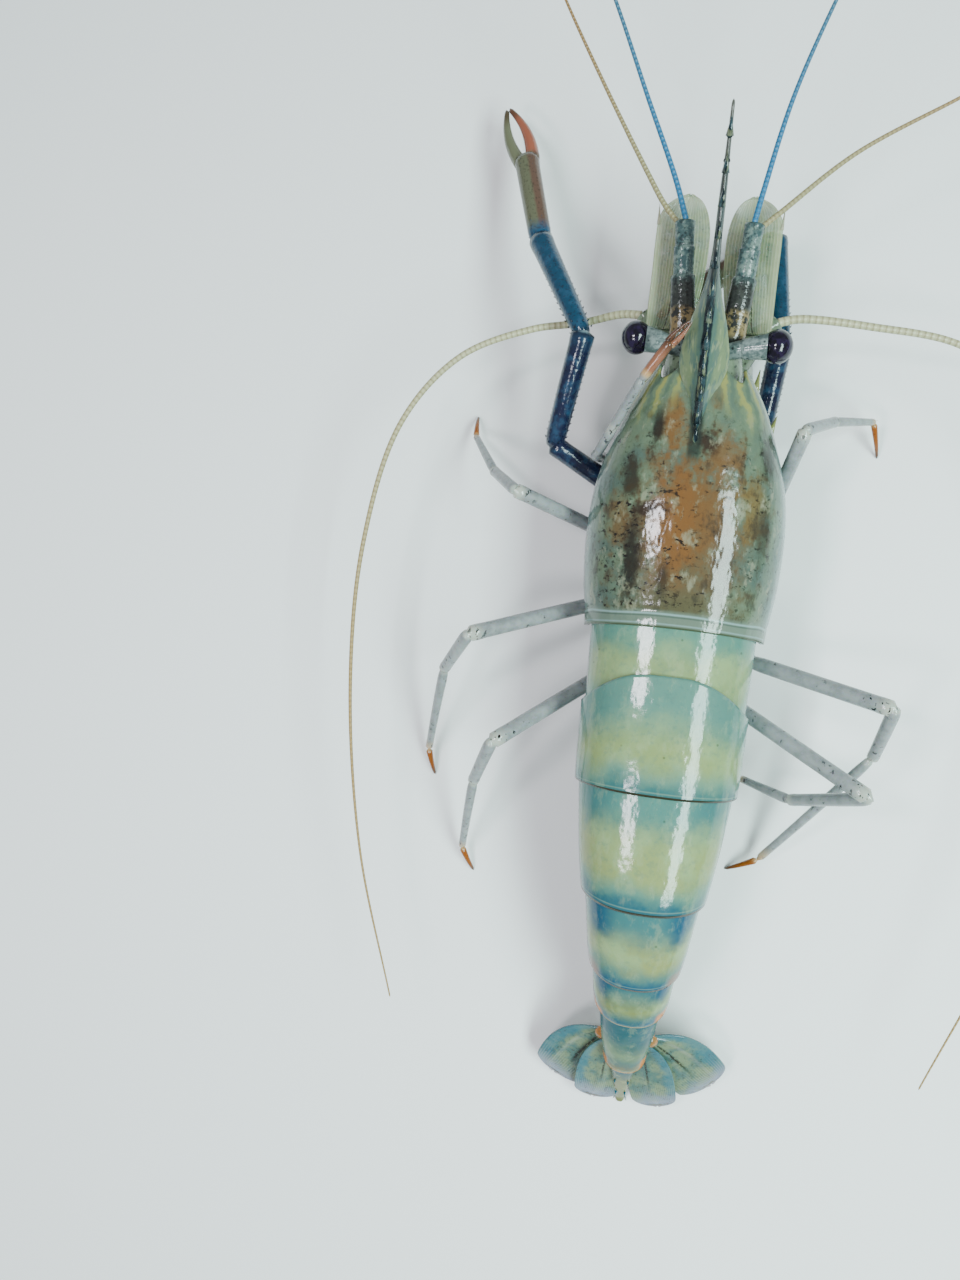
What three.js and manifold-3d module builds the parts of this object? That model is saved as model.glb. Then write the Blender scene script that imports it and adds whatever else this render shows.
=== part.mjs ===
// Giant river prawn, life size, standing on its walking legs with its back arched and its tail fan on the floor.
// Millimetres, +Z up. The head points along +Y and the animal's right side is +X.
// While it is built, Y = 0 is the rear edge of the carapace and Z = 0 is the floor. The last lines move the whole
// animal sideways so that the middle of its bounding box stands over the origin.
import * as THREE from "three";
import { mergeVertices } from "three/addons/utils/BufferGeometryUtils.js";
import Module from "manifold-3d";

const wasm = await Module();
wasm.setup();

// driving sizes
const GAP = 0.3; // between pieces that touch
const SHELL_GAP = 0.42; // between the curved shells of the abdomen, whose facets cross each other at a slant
const BACK_HEIGHT = 44.5; // top of the back over the rear edge of the carapace
const CARAPACE_FRONT = -57; // stations are measured along the back, negative towards the head
const TAIL_END = 138; // tip of the telson
const PLATE = 0.9; // thickness of a thin plate of shell

// Slope of the back in degrees, falling towards the tail, at stations along it.
const BACK_SLOPE = [
  [-60, -9], [-45, -6], [-28, -1], [-8, 3], [0, -3], [14, -5], [25, 0],
  [45, 5], [63, 12], [82, 25], [94, 36], [115, 44], [138, 49],
];
const CARAPACE_HALF_WIDTH = [
  [-60, 9], [-57, 11], [-51, 14.6], [-44, 17.6], [-32, 21.1], [-20, 22.2], [-8, 21.7], [2, 20.2],
];
const CARAPACE_WIDEST_DEPTH = [[-60, 9], [-44, 14], [-20, 17], [2, 17]];
const CARAPACE_DEPTH = [[-60, 13], [-52, 19], [-40, 26], [-20, 31], [2, 29]];
const ABDOMEN_HALF_WIDTH = [
  [-4, 18.9], [14, 18.7], [37, 18], [46, 16.9], [55, 15.4], [63, 14], [77, 11.4], [91, 8.9], [104, 6.7], [115, 5.1],
];
const ABDOMEN_DEPTH = [[-4, 27], [14, 28], [37, 28], [55, 25.5], [63, 23.5], [82, 18.5], [94, 14.5], [115, 8.5]];

// Abdominal segments: stations of their rear edges on the back.
const SEGMENT_ENDS = [14, 37, 63, 82, 94, 115];
const SHELL_FLARE = 0.5; // how far a rear edge stands over the segment behind it
const TUCK = 3; // how far a segment reaches in under the one before it
// Side plates (pleura) of the first five segments: middle, length and lowest depth below the belly line.
const PLEURA = [
  { middle: 6, length: 16, hang: 1.5 },
  { middle: 26, length: 31, hang: 4.6 },
  { middle: 53, length: 25, hang: 4.2 },
  { middle: 74.5, length: 21, hang: 4 },
  { middle: 90, length: 15, hang: 3.2 },
];

// interpolation along the body
// Smooth value of a table of [station, value] pairs, by cubic pieces that never overshoot by much.
function along(table, s) {
  const last = table.length - 1;
  if (s <= table[0][0]) return table[0][1];
  if (s >= table[last][0]) return table[last][1];
  const i = table.findIndex((row) => row[0] > s) - 1;
  const slope = (k) => {
    if (k === 0 || k === last) return 0;
    return (table[k + 1][1] - table[k - 1][1]) / (table[k + 1][0] - table[k - 1][0]);
  };
  const [s0, v0] = table[i];
  const [s1, v1] = table[i + 1];
  const span = s1 - s0;
  const t = (s - s0) / span;
  const startPull = slope(i) * span * t * (1 - t) ** 2;
  const endPull = slope(i + 1) * span * t * t * (t - 1);
  return v0 + (v1 - v0) * t * t * (3 - 2 * t) + startPull + endPull;
}

const radians = THREE.MathUtils.degToRad;
const backSlope = (s) => radians(along(BACK_SLOPE, s));

// The back line, walked in short steps from the rear edge of the carapace.
const STEP = 0.5;
const WALK_FRONT = -80;
const WALK_REAR = 150;
function walkBack(end) {
  const points = [new THREE.Vector2(0, BACK_HEIGHT)];
  const direction = Math.sign(end);
  for (let s = 0; Math.abs(s) < Math.abs(end); s += STEP * direction) {
    const slope = backSlope(s + (STEP * direction) / 2);
    const from = points[points.length - 1];
    points.push(new THREE.Vector2(
      from.x - Math.cos(slope) * STEP * direction,
      from.y - Math.sin(slope) * STEP * direction,
    ));
  }
  return points;
}
const backToTail = walkBack(WALK_REAR);
const backToHead = walkBack(WALK_FRONT);
function backPoint(s) {
  const points = s < 0 ? backToHead : backToTail;
  const at = Math.abs(s) / STEP;
  const i = Math.min(Math.floor(at), points.length - 2);
  return points[i].clone().lerp(points[i + 1], at - i);
}

// The point at station s, x to the side and a depth below the back, square to the back line.
function inBody(s, x, depth) {
  const back = backPoint(s);
  const slope = backSlope(s);
  return new THREE.Vector3(x, back.x + depth * Math.sin(slope), back.y - depth * Math.cos(slope));
}

// making solids
function solidOf(geometry) {
  const bare = geometry.clone();
  bare.deleteAttribute("normal");
  bare.deleteAttribute("uv");
  const merged = mergeVertices(bare, 1e-4);
  const vertProperties = new Float32Array(merged.attributes.position.array);
  const triVerts = new Uint32Array(merged.index.array);
  const make = () => new wasm.Manifold(new wasm.Mesh({ numProp: 3, vertProperties, triVerts }));
  const made = make();
  if (made.volume() > 0) return made;
  for (let i = 0; i < triVerts.length; i += 3) {
    [triVerts[i + 1], triVerts[i + 2]] = [triVerts[i + 2], triVerts[i + 1]];
  }
  return make();
}

// A three.js geometry with each of its points moved by a function of where it was.
function shaped(geometry, place) {
  const position = geometry.attributes.position;
  const from = new THREE.Vector3();
  for (let i = 0; i < position.count; i++) {
    const to = place(from.fromBufferAttribute(position, i));
    position.setXYZ(i, to.x, to.y, to.z);
  }
  return solidOf(geometry);
}

const joined = (...solids) => solids.reduce((sum, solid) => sum.add(solid));
const largest = (solid) => solid.decompose().reduce((a, b) => (b.volume() > a.volume() ? b : a));
const cutBy = (solid, ...others) => largest(others.reduce((left, other) => left.subtract(other), solid));

// A tube of the body between two stations. section(angle, s) gives x and depth; the angle is 0 on the back.
function bodyTube(from, to, sides, rings, section) {
  return shaped(new THREE.CylinderGeometry(1, 1, 1, sides, rings), (p) => {
    const s = from + (to - from) * (0.5 - p.y);
    const radius = Math.hypot(p.x, p.z);
    const angle = radius < 1e-6 ? 0 : Math.atan2(p.x, p.z);
    const { x, depth } = section(angle, s);
    const middle = section(Math.PI / 2, s).depth;
    return inBody(s, x * radius, middle + (depth - middle) * radius);
  });
}

// An oval section: round over the back, fuller on the flanks and flattened below.
function oval(angle, halfWidth, widestDepth, depth, grow) {
  const side = Math.sin(angle);
  const up = Math.cos(angle);
  const x = Math.sign(side) * Math.abs(side) ** 0.86 * (halfWidth + grow);
  if (up >= 0) return { x, depth: widestDepth - (widestDepth + grow) * up ** 0.94 };
  return { x, depth: widestDepth + (depth - widestDepth + grow) * (-up) ** 0.8 };
}

// A limb piece between two points, rounded at both ends, with its own radius at each end.
function podomere(from, to, startRadius, endRadius, { sides = 8, flatten = 1, up = new THREE.Vector3(0, 0, 1) } = {}) {
  const axis = to.clone().sub(from);
  const length = axis.length();
  axis.normalize();
  const across = new THREE.Vector3().crossVectors(axis, up).normalize();
  const over = new THREE.Vector3().crossVectors(across, axis).normalize();
  const half = length / 2;
  return shaped(new THREE.CapsuleGeometry(1, length, 2, sides), (p) => {
    const t = THREE.MathUtils.clamp((p.y + half) / length, 0, 1);
    const radius = THREE.MathUtils.lerp(startRadius, endRadius, t);
    const beyond = p.y > half ? (p.y - half) * radius : p.y < -half ? (p.y + half) * radius : 0;
    return from.clone()
      .addScaledVector(axis, t * length + beyond)
      .addScaledVector(across, p.x * radius)
      .addScaledVector(over, p.z * radius * flatten);
  });
}

// A limb: one skin over a chain of joints. Each entry of thickness is [radius at start, radius at end] of a length.
// At a bend the skin turns in three rings, set back far enough not to fold. Both ends reach on by a chosen amount.
function limb(joints, thickness, { sides = 8, flatten = 1, swell = 1.1, longer = 0 } = {}) {
  const axes = thickness.map((_, i) => joints[i + 1].clone().sub(joints[i]).normalize());
  const lengths = thickness.map((_, i) => joints[i + 1].distanceTo(joints[i]));
  const root = joints[0].clone().addScaledVector(axes[0], -longer);
  const rings = [{ centre: root, axis: axes[0], radius: thickness[0][0] }];
  thickness.forEach(([, end], i) => {
    const to = joints[i + 1];
    if (i === thickness.length - 1) {
      rings.push({ centre: to.clone().addScaledVector(axes[i], longer), axis: axes[i], radius: end });
      return;
    }
    const start = thickness[i + 1][0];
    const wide = Math.max(start, end);
    const bend = axes[i].angleTo(axes[i + 1]);
    const reach = Math.min(0.25 + wide * Math.tan(Math.min(bend, 2.4) / 2), 0.42 * Math.min(lengths[i], lengths[i + 1]));
    rings.push({ centre: to.clone().addScaledVector(axes[i], -reach), axis: axes[i], radius: end });
    rings.push({ centre: to, axis: axes[i].clone().add(axes[i + 1]).normalize(), radius: wide * swell });
    rings.push({ centre: to.clone().addScaledVector(axes[i + 1], reach), axis: axes[i + 1], radius: start });
  });
  let across = new THREE.Vector3().crossVectors(axes[0], new THREE.Vector3(0, 0, 1)).normalize();
  for (const ring of rings) {
    across = across.clone().addScaledVector(ring.axis, -across.dot(ring.axis)).normalize();
    ring.across = across;
    ring.over = new THREE.Vector3().crossVectors(across, ring.axis);
  }
  const last = rings.length - 1;
  return shaped(new THREE.CylinderGeometry(1, 1, 1, sides, last), (p) => {
    const { centre, radius, across: x, over: z } = rings[Math.round((0.5 - p.y) * last)];
    return centre.clone().addScaledVector(x, p.x * radius).addScaledVector(z, p.z * radius * flatten);
  });
}

// A spine or tooth: a cone from its root to a sharp tip.
function cone(from, to, radius, sides = 4) {
  const axis = to.clone().sub(from);
  const turn = new THREE.Quaternion().setFromUnitVectors(point(0, 1, 0), axis.clone().normalize());
  return shaped(new THREE.ConeGeometry(radius, axis.length(), sides), (p) => (
    p.clone().applyQuaternion(turn).addScaledVector(axis, 0.5).add(from)
  ));
}

// A long feeler that tapers along a smooth curve through a few points.
function feeler(points, startRadius, endRadius, { sides = 6, rings = 18 } = {}) {
  const curve = new THREE.CatmullRomCurve3(points, false, "centripetal");
  const frames = curve.computeFrenetFrames(rings, false);
  return shaped(new THREE.CylinderGeometry(1, 1, 1, sides, rings), (p) => {
    const i = Math.round((0.5 - p.y) * rings);
    const radius = THREE.MathUtils.lerp(startRadius, endRadius, (i / rings) ** 0.8);
    return curve.getPointAt(i / rings)
      .addScaledVector(frames.normals[i], p.x * radius)
      .addScaledVector(frames.binormals[i], p.z * radius);
  });
}

const point = (x, y, z) => new THREE.Vector3(x, y, z);
const ball = (centre, size, sides = 16, rings = 10) => shaped(
  new THREE.SphereGeometry(1, sides, rings),
  (p) => p.clone().multiply(size).add(centre),
);
const floorBlock = solidOf(new THREE.BoxGeometry(800, 800, 40).translate(0, 0, -20));
const onFloor = (solid) => solid.subtract(floorBlock);

// carapace, head and rostrum
const carapaceSection = (grow) => (angle, s) => oval(
  angle,
  along(CARAPACE_HALF_WIDTH, s),
  along(CARAPACE_WIDEST_DEPTH, s),
  along(CARAPACE_DEPTH, s),
  grow,
);

function carapace(grow = 0) {
  const shell = bodyTube(CARAPACE_FRONT - grow, 1 + grow, 28, 13, carapaceSection(grow));
  if (grow) return shell;
  const spines = [-1, 1].flatMap((side) => [
    cone(inBody(-54, side * 11.5, 11), inBody(-61, side * 12.5, 11), 1.4, 6), // antennal spine
    cone(inBody(-46, side * 16, 14), inBody(-51, side * 17.2, 14), 1.2, 6), // hepatic spine
  ]);
  return joined(shell, ...spines);
}

// The blade over the eyes, from the middle of the carapace to its upturned tip: heights of both edges along Y.
const ROSTRUM_TOP = [[36, 43.6], [45, 45.4], [55, 47.4], [63, 48.6], [75, 48.2], [86, 50], [96, 53], [106, 57.2]];
const ROSTRUM_BOTTOM = [[36, 41], [56, 38.5], [66, 41.6], [76, 44], [86, 46.8], [96, 50.8], [106, 56.6]];
const ROSTRUM_HALF_WIDTH = [[36, 0.8], [48, 2.6], [56, 5.2], [63, 4.2], [70, 2.2], [77, 1], [90, 0.75], [106, 0.35]];
const ROSTRUM_ROOT = 36;
const ROSTRUM_TIP = 106;

function tooth(y, edge, side, length) {
  const z = along(edge, y);
  const base = point(0, y - 1.6, z - side * 0.9);
  const tip = point(0, y + length, z + side * 1.1);
  return cone(base, tip, 1.1);
}

function rostrum() {
  // Its section is a slender cross: a thin upright blade with a flange along each side, broad only over the eyes.
  const blade = shaped(new THREE.CylinderGeometry(1, 1, 1, 12, 18), (p) => {
    const y = THREE.MathUtils.lerp(ROSTRUM_ROOT, ROSTRUM_TIP, 0.5 - p.y);
    const top = along(ROSTRUM_TOP, y);
    const bottom = along(ROSTRUM_BOTTOM, y);
    const hollow = THREE.MathUtils.lerp(1.9, 1, THREE.MathUtils.smoothstep(y, 66, 80));
    const x = Math.sign(p.x) * Math.abs(p.x) ** hollow * along(ROSTRUM_HALF_WIDTH, y);
    const height = Math.sign(p.z) * Math.abs(p.z) ** hollow;
    return point(x, y, (top + bottom) / 2 + (height * (top - bottom)) / 2);
  });
  const teeth = [];
  const dorsal = 12;
  for (let i = 0; i < dorsal; i++) {
    const t = i / (dorsal - 1);
    teeth.push(tooth(41 + 60 * t ** 1.15, ROSTRUM_TOP, 1, 1.4));
  }
  const ventral = 9;
  for (let i = 0; i < ventral; i++) teeth.push(tooth(69 + (32 * i) / (ventral - 1), ROSTRUM_BOTTOM, -1, 1.2));
  return cutBy(joined(blade, ...teeth), carapace(GAP));
}

const HEAD_CENTRE = point(0, 57, 30.5);
const HEAD_SIZE = new THREE.Vector3(9, 12, 7.6);
const head = (grow = 0) => {
  const size = HEAD_SIZE.clone().addScalar(grow);
  return cutBy(ball(HEAD_CENTRE, size, 14, 8), carapace(GAP));
};
const headGrown = () => ball(HEAD_CENTRE, HEAD_SIZE.clone().addScalar(GAP), 14, 8);

// the thorax under the carapace, which carries the legs
const THORAX = { front: -46, rear: -0.5, halfWidth: 12, top: 20, bottom: 34.2 };
function thorax(grow = 0) {
  const block = bodyTube(THORAX.front - grow, THORAX.rear + grow, 12, 6, (angle, s) => {
    const t = (s - THORAX.front) / (THORAX.rear - THORAX.front);
    const taper = 0.62 + 0.38 * Math.sin(Math.PI * THREE.MathUtils.clamp(0.15 + 0.75 * t, 0, 1));
    const rise = 5.2 * (1 - THREE.MathUtils.clamp(t * 2, 0, 1));
    const middle = (THORAX.top + THORAX.bottom) / 2;
    const half = (THORAX.bottom - THORAX.top) / 2 + grow;
    return {
      x: Math.sin(angle) * (THORAX.halfWidth * taper + grow),
      depth: middle - rise - Math.cos(angle) * half,
    };
  });
  return grow ? block : cutBy(block, carapace(GAP));
}

// abdomen
function segmentTube(index, grow) {
  const end = SEGMENT_ENDS[index];
  const start = index === 0 ? -TUCK : SEGMENT_ENDS[index - 1] - TUCK;
  const flareAt = (s) => SHELL_FLARE * THREE.MathUtils.smoothstep(s, start, end);
  const rings = Math.max(3, Math.round((end - start) / 5.5));
  return bodyTube(start - grow, end + grow, 20, rings, (angle, s) => {
    const halfWidth = along(ABDOMEN_HALF_WIDTH, s);
    const depth = along(ABDOMEN_DEPTH, s);
    return oval(angle, halfWidth - 0.6 + flareAt(s), depth * 0.52, depth, grow + flareAt(s) - SHELL_FLARE / 2);
  });
}

// A side plate: a thin rounded lobe that lies on the flank and hangs below the belly.
function sidePlate(index, side, grow) {
  const { middle, length, hang } = PLEURA[index];
  return shaped(new THREE.SphereGeometry(1, 12, 6), (p) => {
    const s = middle + p.x * (length / 2 + grow);
    const halfWidth = along(ABDOMEN_HALF_WIDTH, s);
    const depth = along(ABDOMEN_DEPTH, s);
    const top = depth * 0.34 - grow;
    const bottom = depth + hang + grow;
    const down = (top + bottom) / 2 - (p.y * (bottom - top)) / 2;
    const belowWidest = Math.max(0, (down - depth * 0.52) / (depth * 0.6));
    const wall = halfWidth * (1 - 0.2 * belowWidest ** 2) - 0.5;
    return inBody(s, side * (wall + p.z * (1 + grow)), down);
  });
}

function segment(index, grow = 0) {
  const tube = segmentTube(index, grow);
  if (!PLEURA[index]) return tube;
  return joined(tube, sidePlate(index, 1, grow), sidePlate(index, -1, grow));
}

// Which pieces lie over each segment: the second one laps over both of its neighbours.
const LAPPED_BY = [[1], [], [1], [2], [3], [4]];
function abdomenSegment(index) {
  const over = LAPPED_BY[index].map((i) => segment(i, SHELL_GAP));
  if (index < 2) over.push(carapace(GAP), thorax(GAP));
  return cutBy(segment(index), ...over);
}

// tail fan
function telson(grow = 0) {
  const start = SEGMENT_ENDS[5] - TUCK;
  const spike = bodyTube(start, TAIL_END, 14, 8, (angle, s) => {
    const t = (s - start) / (TAIL_END - start);
    const halfWidth = THREE.MathUtils.lerp(4.4, 1.1, t ** 0.9);
    const thickness = THREE.MathUtils.lerp(5, 1.4, t);
    return {
      x: Math.sin(angle) * (halfWidth + grow),
      depth: 1 + thickness / 2 - Math.cos(angle) * (thickness / 2 + grow),
    };
  });
  return grow ? spike : onFloor(cutBy(spike, segment(5, GAP)));
}

// A paddle of the fan, drawn flat with its root at the origin and its length along +Y, then set in place.
function paddle({ length, width, outerStraight, ribs }) {
  const outline = new THREE.Shape();
  outline.moveTo(-1.6, -1.5);
  outline.lineTo(1.6, -1.5);
  outline.bezierCurveTo(width * 0.62, length * 0.16, width * outerStraight, length * 0.55, width * 0.5, length * 0.86);
  outline.bezierCurveTo(width * 0.47, length * 1.01, -width * 0.25, length * 1.07, -width * 0.45, length * 0.88);
  outline.bezierCurveTo(-width * 0.52, length * 0.5, -width * 0.3, length * 0.15, -1.6, -1.5);
  const plate = solidOf(new THREE.ExtrudeGeometry(outline, {
    depth: PLATE, bevelEnabled: false, curveSegments: 5,
  }));
  const raised = ribs.map(([rootX, tipX, reach]) => podomere(
    point(rootX, 0.5, PLATE - 0.1), point(tipX, length * reach, PLATE - 0.2), 0.8, 0.35, { sides: 5 },
  ));
  return joined(plate, ...raised);
}

const EXOPOD = { length: 22.5, width: 15.5, outerStraight: 0.6, ribs: [[0.6, 5.4, 0.84], [-0.4, -1.6, 0.8]] };
const ENDOPOD = { length: 22.5, width: 12, outerStraight: 0.56, ribs: [[0, 0.5, 0.86]] };
// Root, spread from the tail's line, droop below level and roll of each paddle, in degrees.
const FAN = [
  { name: "uropod_inner_right", shape: ENDOPOD, side: 1, root: [3.6, 113, 6], spread: 16, droop: 31, roll: 8 },
  { name: "uropod_inner_left", shape: ENDOPOD, side: -1, root: [3.6, 113, 6], spread: 8, droop: 32, roll: 8 },
  { name: "uropod_outer_right", shape: EXOPOD, side: 1, root: [6, 112, 7.4], spread: 51, droop: 28, roll: 12 },
  { name: "uropod_outer_left", shape: EXOPOD, side: -1, root: [6, 112, 7.4], spread: 33, droop: 30, roll: 10 },
];
const UROPOD_ROOT = 2.1;
function uropod({ shape, side, root, spread, droop, roll }) {
  const [x, s, depth] = root;
  const matrix = new THREE.Matrix4()
    .makeTranslation(inBody(s, side * x, depth))
    .multiply(new THREE.Matrix4().makeScale(side, 1, 1))
    .multiply(new THREE.Matrix4().makeRotationZ(Math.PI + radians(spread)))
    .multiply(new THREE.Matrix4().makeRotationX(radians(-droop)))
    .multiply(new THREE.Matrix4().makeRotationY(radians(roll)))
    .multiply(new THREE.Matrix4().makeScale(-1, 1, 1));
  const plate = paddle(shape);
  const knuckle = ball(point(0, -0.6, PLATE / 2), new THREE.Vector3(UROPOD_ROOT, UROPOD_ROOT, 1.5), 8, 6);
  return joined(plate, knuckle).transform(matrix.elements);
}

// eyes
const EYE = { x: 14.9, y: 62, z: 38.4, radius: 3.75 };
const stalk = (side, grow = 0) => limb(
  [point(side * 3.2, 60.4, 36.4), point(side * 8.2, 61.2, 37.6), point(side * 13.4, 61.9, 38.2)],
  [[1.7 + grow, 2.1 + grow], [2.1 + grow, 2.9 + grow]],
  { sides: 10, longer: grow },
);
const eye = (side) => cutBy(
  ball(point(side * EYE.x, EYE.y, EYE.z), new THREE.Vector3(EYE.radius * 0.96, EYE.radius, EYE.radius), 12, 8),
  stalk(side, GAP),
);

// antennules: a three-jointed stem on each side with two whips
const ANTENNULE = { x: 7.4, tipY: 87.4, z: 37.2 };
const antennuleStem = (side, grow = 0) => limb(
  [
    point(side * 5.4, 64, 35.2), point(side * 6.6, 76, 36.4),
    point(side * 7, 82, 37), point(side * ANTENNULE.x, ANTENNULE.tipY, ANTENNULE.z),
  ],
  [[3 + grow, 2.7 + grow], [2.3 + grow, 2.4 + grow], [2.1 + grow, 2.3 + grow]],
  { sides: 10, flatten: 0.85, longer: grow },
);
const WHIPS = [
  { name: "antennule_whip_outer_right", side: 1, radius: 0.75, path: [[7.2, 88, 38.4], [8.3, 94, 40.4], [12.2, 112.8, 44], [18.6, 131.5, 49], [27, 152, 53], [38, 172, 56]] },
  { name: "antennule_whip_outer_left", side: -1, radius: 0.75, path: [[-7.2, 88, 38.4], [-10.4, 96, 40.4], [-18.2, 112, 44], [-27.5, 131, 49], [-38, 150, 53], [-51, 169, 56]] },
  { name: "antennule_whip_inner_right", side: 1, radius: 0.75, path: [[8.4, 87.6, 36.2], [12.4, 91.2, 36.6], [26.6, 103.6, 39], [45.5, 114.4, 42], [62, 124, 44], [80, 136, 45]] },
  { name: "antennule_whip_inner_left", side: -1, radius: 0.75, path: [[-8.4, 87.6, 36.2], [-12.4, 92, 36.6], [-16.9, 98.6, 37.4], [-29.9, 119.4, 39], [-39.6, 136, 40], [-50, 156, 41]] },
];

// antennae: a stout base, a broad flat scale and a long whip
const antennaBase = (side, grow = 0) => limb(
  [point(side * 7.5, 61.5, 26.6), point(side * 10.5, 66.4, 26.8), point(side * 14.6, 70, 26.9)],
  [[3.4 + grow, 3.1 + grow], [2.5 + grow, 1.9 + grow]],
  { sides: 10, longer: grow },
);
const SCALE_LENGTH = 31;
function antennaScale(side) {
  const outline = new THREE.Shape();
  outline.moveTo(5, 0);
  outline.lineTo(14.4, 0);
  outline.lineTo(14.2, 24.5);
  outline.lineTo(13.4, 26.6);
  outline.bezierCurveTo(11.5, 29.5, 9, SCALE_LENGTH, 7, SCALE_LENGTH);
  outline.bezierCurveTo(3.5, SCALE_LENGTH, 1.5, 26, 1.4, 20);
  outline.bezierCurveTo(1.3, 12, 2.4, 4, 5, 0);
  const plate = solidOf(new THREE.ExtrudeGeometry(outline, { depth: PLATE, bevelEnabled: false, curveSegments: 6 }));
  const margin = podomere(point(13.2, 0.8, 0.5), point(13.9, 26, 0.5), 0.95, 0.6, { sides: 6 });
  const midrib = podomere(point(9.4, 1, 0.7), point(8, 27, 0.5), 0.8, 0.35, { sides: 6 });
  const whole = joined(plate, margin, midrib);
  const matrix = new THREE.Matrix4()
    .makeTranslation(0, 66, 30.2)
    .multiply(new THREE.Matrix4().makeScale(side, 1, 1))
    .multiply(new THREE.Matrix4().makeRotationX(radians(2)));
  return cutBy(whole.transform(matrix.elements), antennaBase(side, GAP), antennuleStem(side, GAP), headGrown());
}

const ANTENNA_RIGHT = [[14.9, 70.3, 26.9], [20, 71.6, 26.6], [36, 71, 26], [54.5, 68.3, 26], [71, 58, 27], [83, 38, 28], [88, 10, 28], [86, -22, 26], [78, -62, 23], [66, -98, 20]];
const ANTENNA_LEFT = [[-14.9, 70.3, 26.9], [-20, 70.6, 25.4], [-29, 68.4, 24.2], [-41, 66, 24.4], [-57, 58, 26], [-69, 41, 28], [-75, 12, 28], [-75, -22, 26], [-69, -62, 23], [-58, -98, 20]];
const ANTENNA_RADIUS = 1.15;
const ANTENNA_SPLIT = 5; // the point at which each whip is divided into a near and a far length

function antennaWhips(path, side) {
  const points = path.map((p) => point(...p));
  const near = feeler(points.slice(0, ANTENNA_SPLIT + 1), ANTENNA_RADIUS, 0.85, { sides: 6, rings: 16 });
  const joint = points[ANTENNA_SPLIT].clone();
  const onward = points[ANTENNA_SPLIT + 1].clone().sub(joint).normalize();
  const farPoints = [joint.addScaledVector(onward, GAP * 1.7), ...points.slice(ANTENNA_SPLIT + 1)];
  const far = feeler(farPoints, 0.85, 0.28, { sides: 6, rings: 14 });
  return [cutBy(near, antennaBase(side, GAP)), cutBy(far, near)];
}

// mouth feet and legs
const maxilliped = (side) => cutBy(
  limb(
    [point(side * 3.2, 38, 15.5), point(side * 3.4, 50, 16.8), point(side * 3, 62, 18.6), point(side * 2.6, 74, 19)],
    [[1.5, 1.7], [1.6, 1.4], [1.3, 0.7]],
    { sides: 7 },
  ),
  thorax(GAP), carapace(GAP), headGrown(),
);

// Joints of each leg from its hip to the tip of its last joint. Walking legs end on the floor.
const WALKING_LEGS = [
  { name: "leg_3_right", size: 1, joints: [[9, 19.5, 13.5], [17.4, 24, 14.5], [23.7, 46.1, 31], [31, 50.8, 19], [41.1, 53.8, 7.5], [43.9, 46.6, 0]] },
  { name: "leg_4_right", size: 1.1, joints: [[10.5, 11, 13.5], [18, -6, 15.5], [48.6, -12.7, 34], [47.1, -24.4, 23.5], [26.5, -54.5, 4], [19.2, -58.6, 0]] },
  { name: "leg_5_right", size: 1.1, joints: [[7, 2, 13.5], [12.5, -15, 13], [45.9, -32.6, 33], [31, -37.2, 16.5], [20.5, -35.2, 4.5], [14.6, -33.6, 0]] },
  { name: "leg_3_left", size: 1, joints: [[-9, 20, 13.5], [-18, 20.5, 15], [-39, 27, 33], [-46.5, 32.5, 21], [-55, 43, 5.5], [-56, 49, 0]] },
  { name: "leg_4_left", size: 1.1, joints: [[-10, 10, 13.5], [-18, 4, 14.5], [-46, -7, 34], [-53, -16, 22.5], [-58.5, -38, 4.5], [-57, -45, 0]] },
  { name: "leg_5_left", size: 1.1, joints: [[-7.5, 1, 13.5], [-14, -12, 13], [-38, -31, 33], [-43, -42, 22], [-47, -62, 4.5], [-44, -68.5, 0]] },
];
const LEG_THICKNESS = [[2.4, 2.1], [1.9, 1.9], [1.7, 1.4], [1.35, 0.95], [0.85, 0.35]];

function walkingLeg({ joints, size }) {
  const chain = joints.map((p) => point(...p));
  const thickness = LEG_THICKNESS.map(([start, end]) => [start * size, end * size]);
  const raw = limb(chain, thickness, { sides: 8 });
  return onFloor(cutBy(raw, thorax(GAP), carapace(GAP), segment(0, SHELL_GAP), segment(1, SHELL_GAP)));
}

// First legs: slender, with a small pincer. The left one is raised beside the rostrum, the right one is tucked.
const FIRST_LEGS = [
  { name: "leg_1_left", joints: [[-8, 37, 14.5], [-20.4, 38.4, 16.5], [-21.6, 36.8, 31], [-12.4, 51.6, 45.4], [-7.4, 58.6, 48.6]], tip: [-3.4, 62.8, 50.8] },
  { name: "leg_1_right", joints: [[6, 38.5, 15], [10.6, 45.5, 20.4], [10.8, 55, 19.6], [9, 70, 19.6], [8.2, 77, 19]], tip: [7.6, 82.6, 18.4] },
];
const FIRST_LEG_THICKNESS = [[1.9, 1.6], [1.5, 1.4], [1.25, 1.1], [1.15, 1.25]];

function fingers(root, tip, spread, radius, across) {
  return [-1, 1].map((side) => {
    const start = root.clone().addScaledVector(across, side * radius * 0.55);
    const bulge = root.clone().lerp(tip, 0.5).addScaledVector(across, side * (radius * 0.5 + spread));
    const end = tip.clone().addScaledVector(across, side * radius * 0.25);
    return joined(
      limb([start, bulge, end], [[radius * 0.66, radius * 0.52], [radius * 0.48, radius * 0.2]], { sides: 6 }),
    );
  });
}

function firstLeg({ joints, tip }) {
  const chain = joints.map((p) => point(...p));
  const wrist = chain[chain.length - 1];
  const end = point(...tip);
  const forward = end.clone().sub(wrist).normalize();
  const across = new THREE.Vector3().crossVectors(forward, point(0, 0, 1)).normalize();
  const raw = joined(limb(chain, FIRST_LEG_THICKNESS, { sides: 7 }), ...fingers(wrist, end, 0.35, 1.3, across));
  return cutBy(raw, thorax(GAP), carapace(GAP), headGrown());
}

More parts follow.
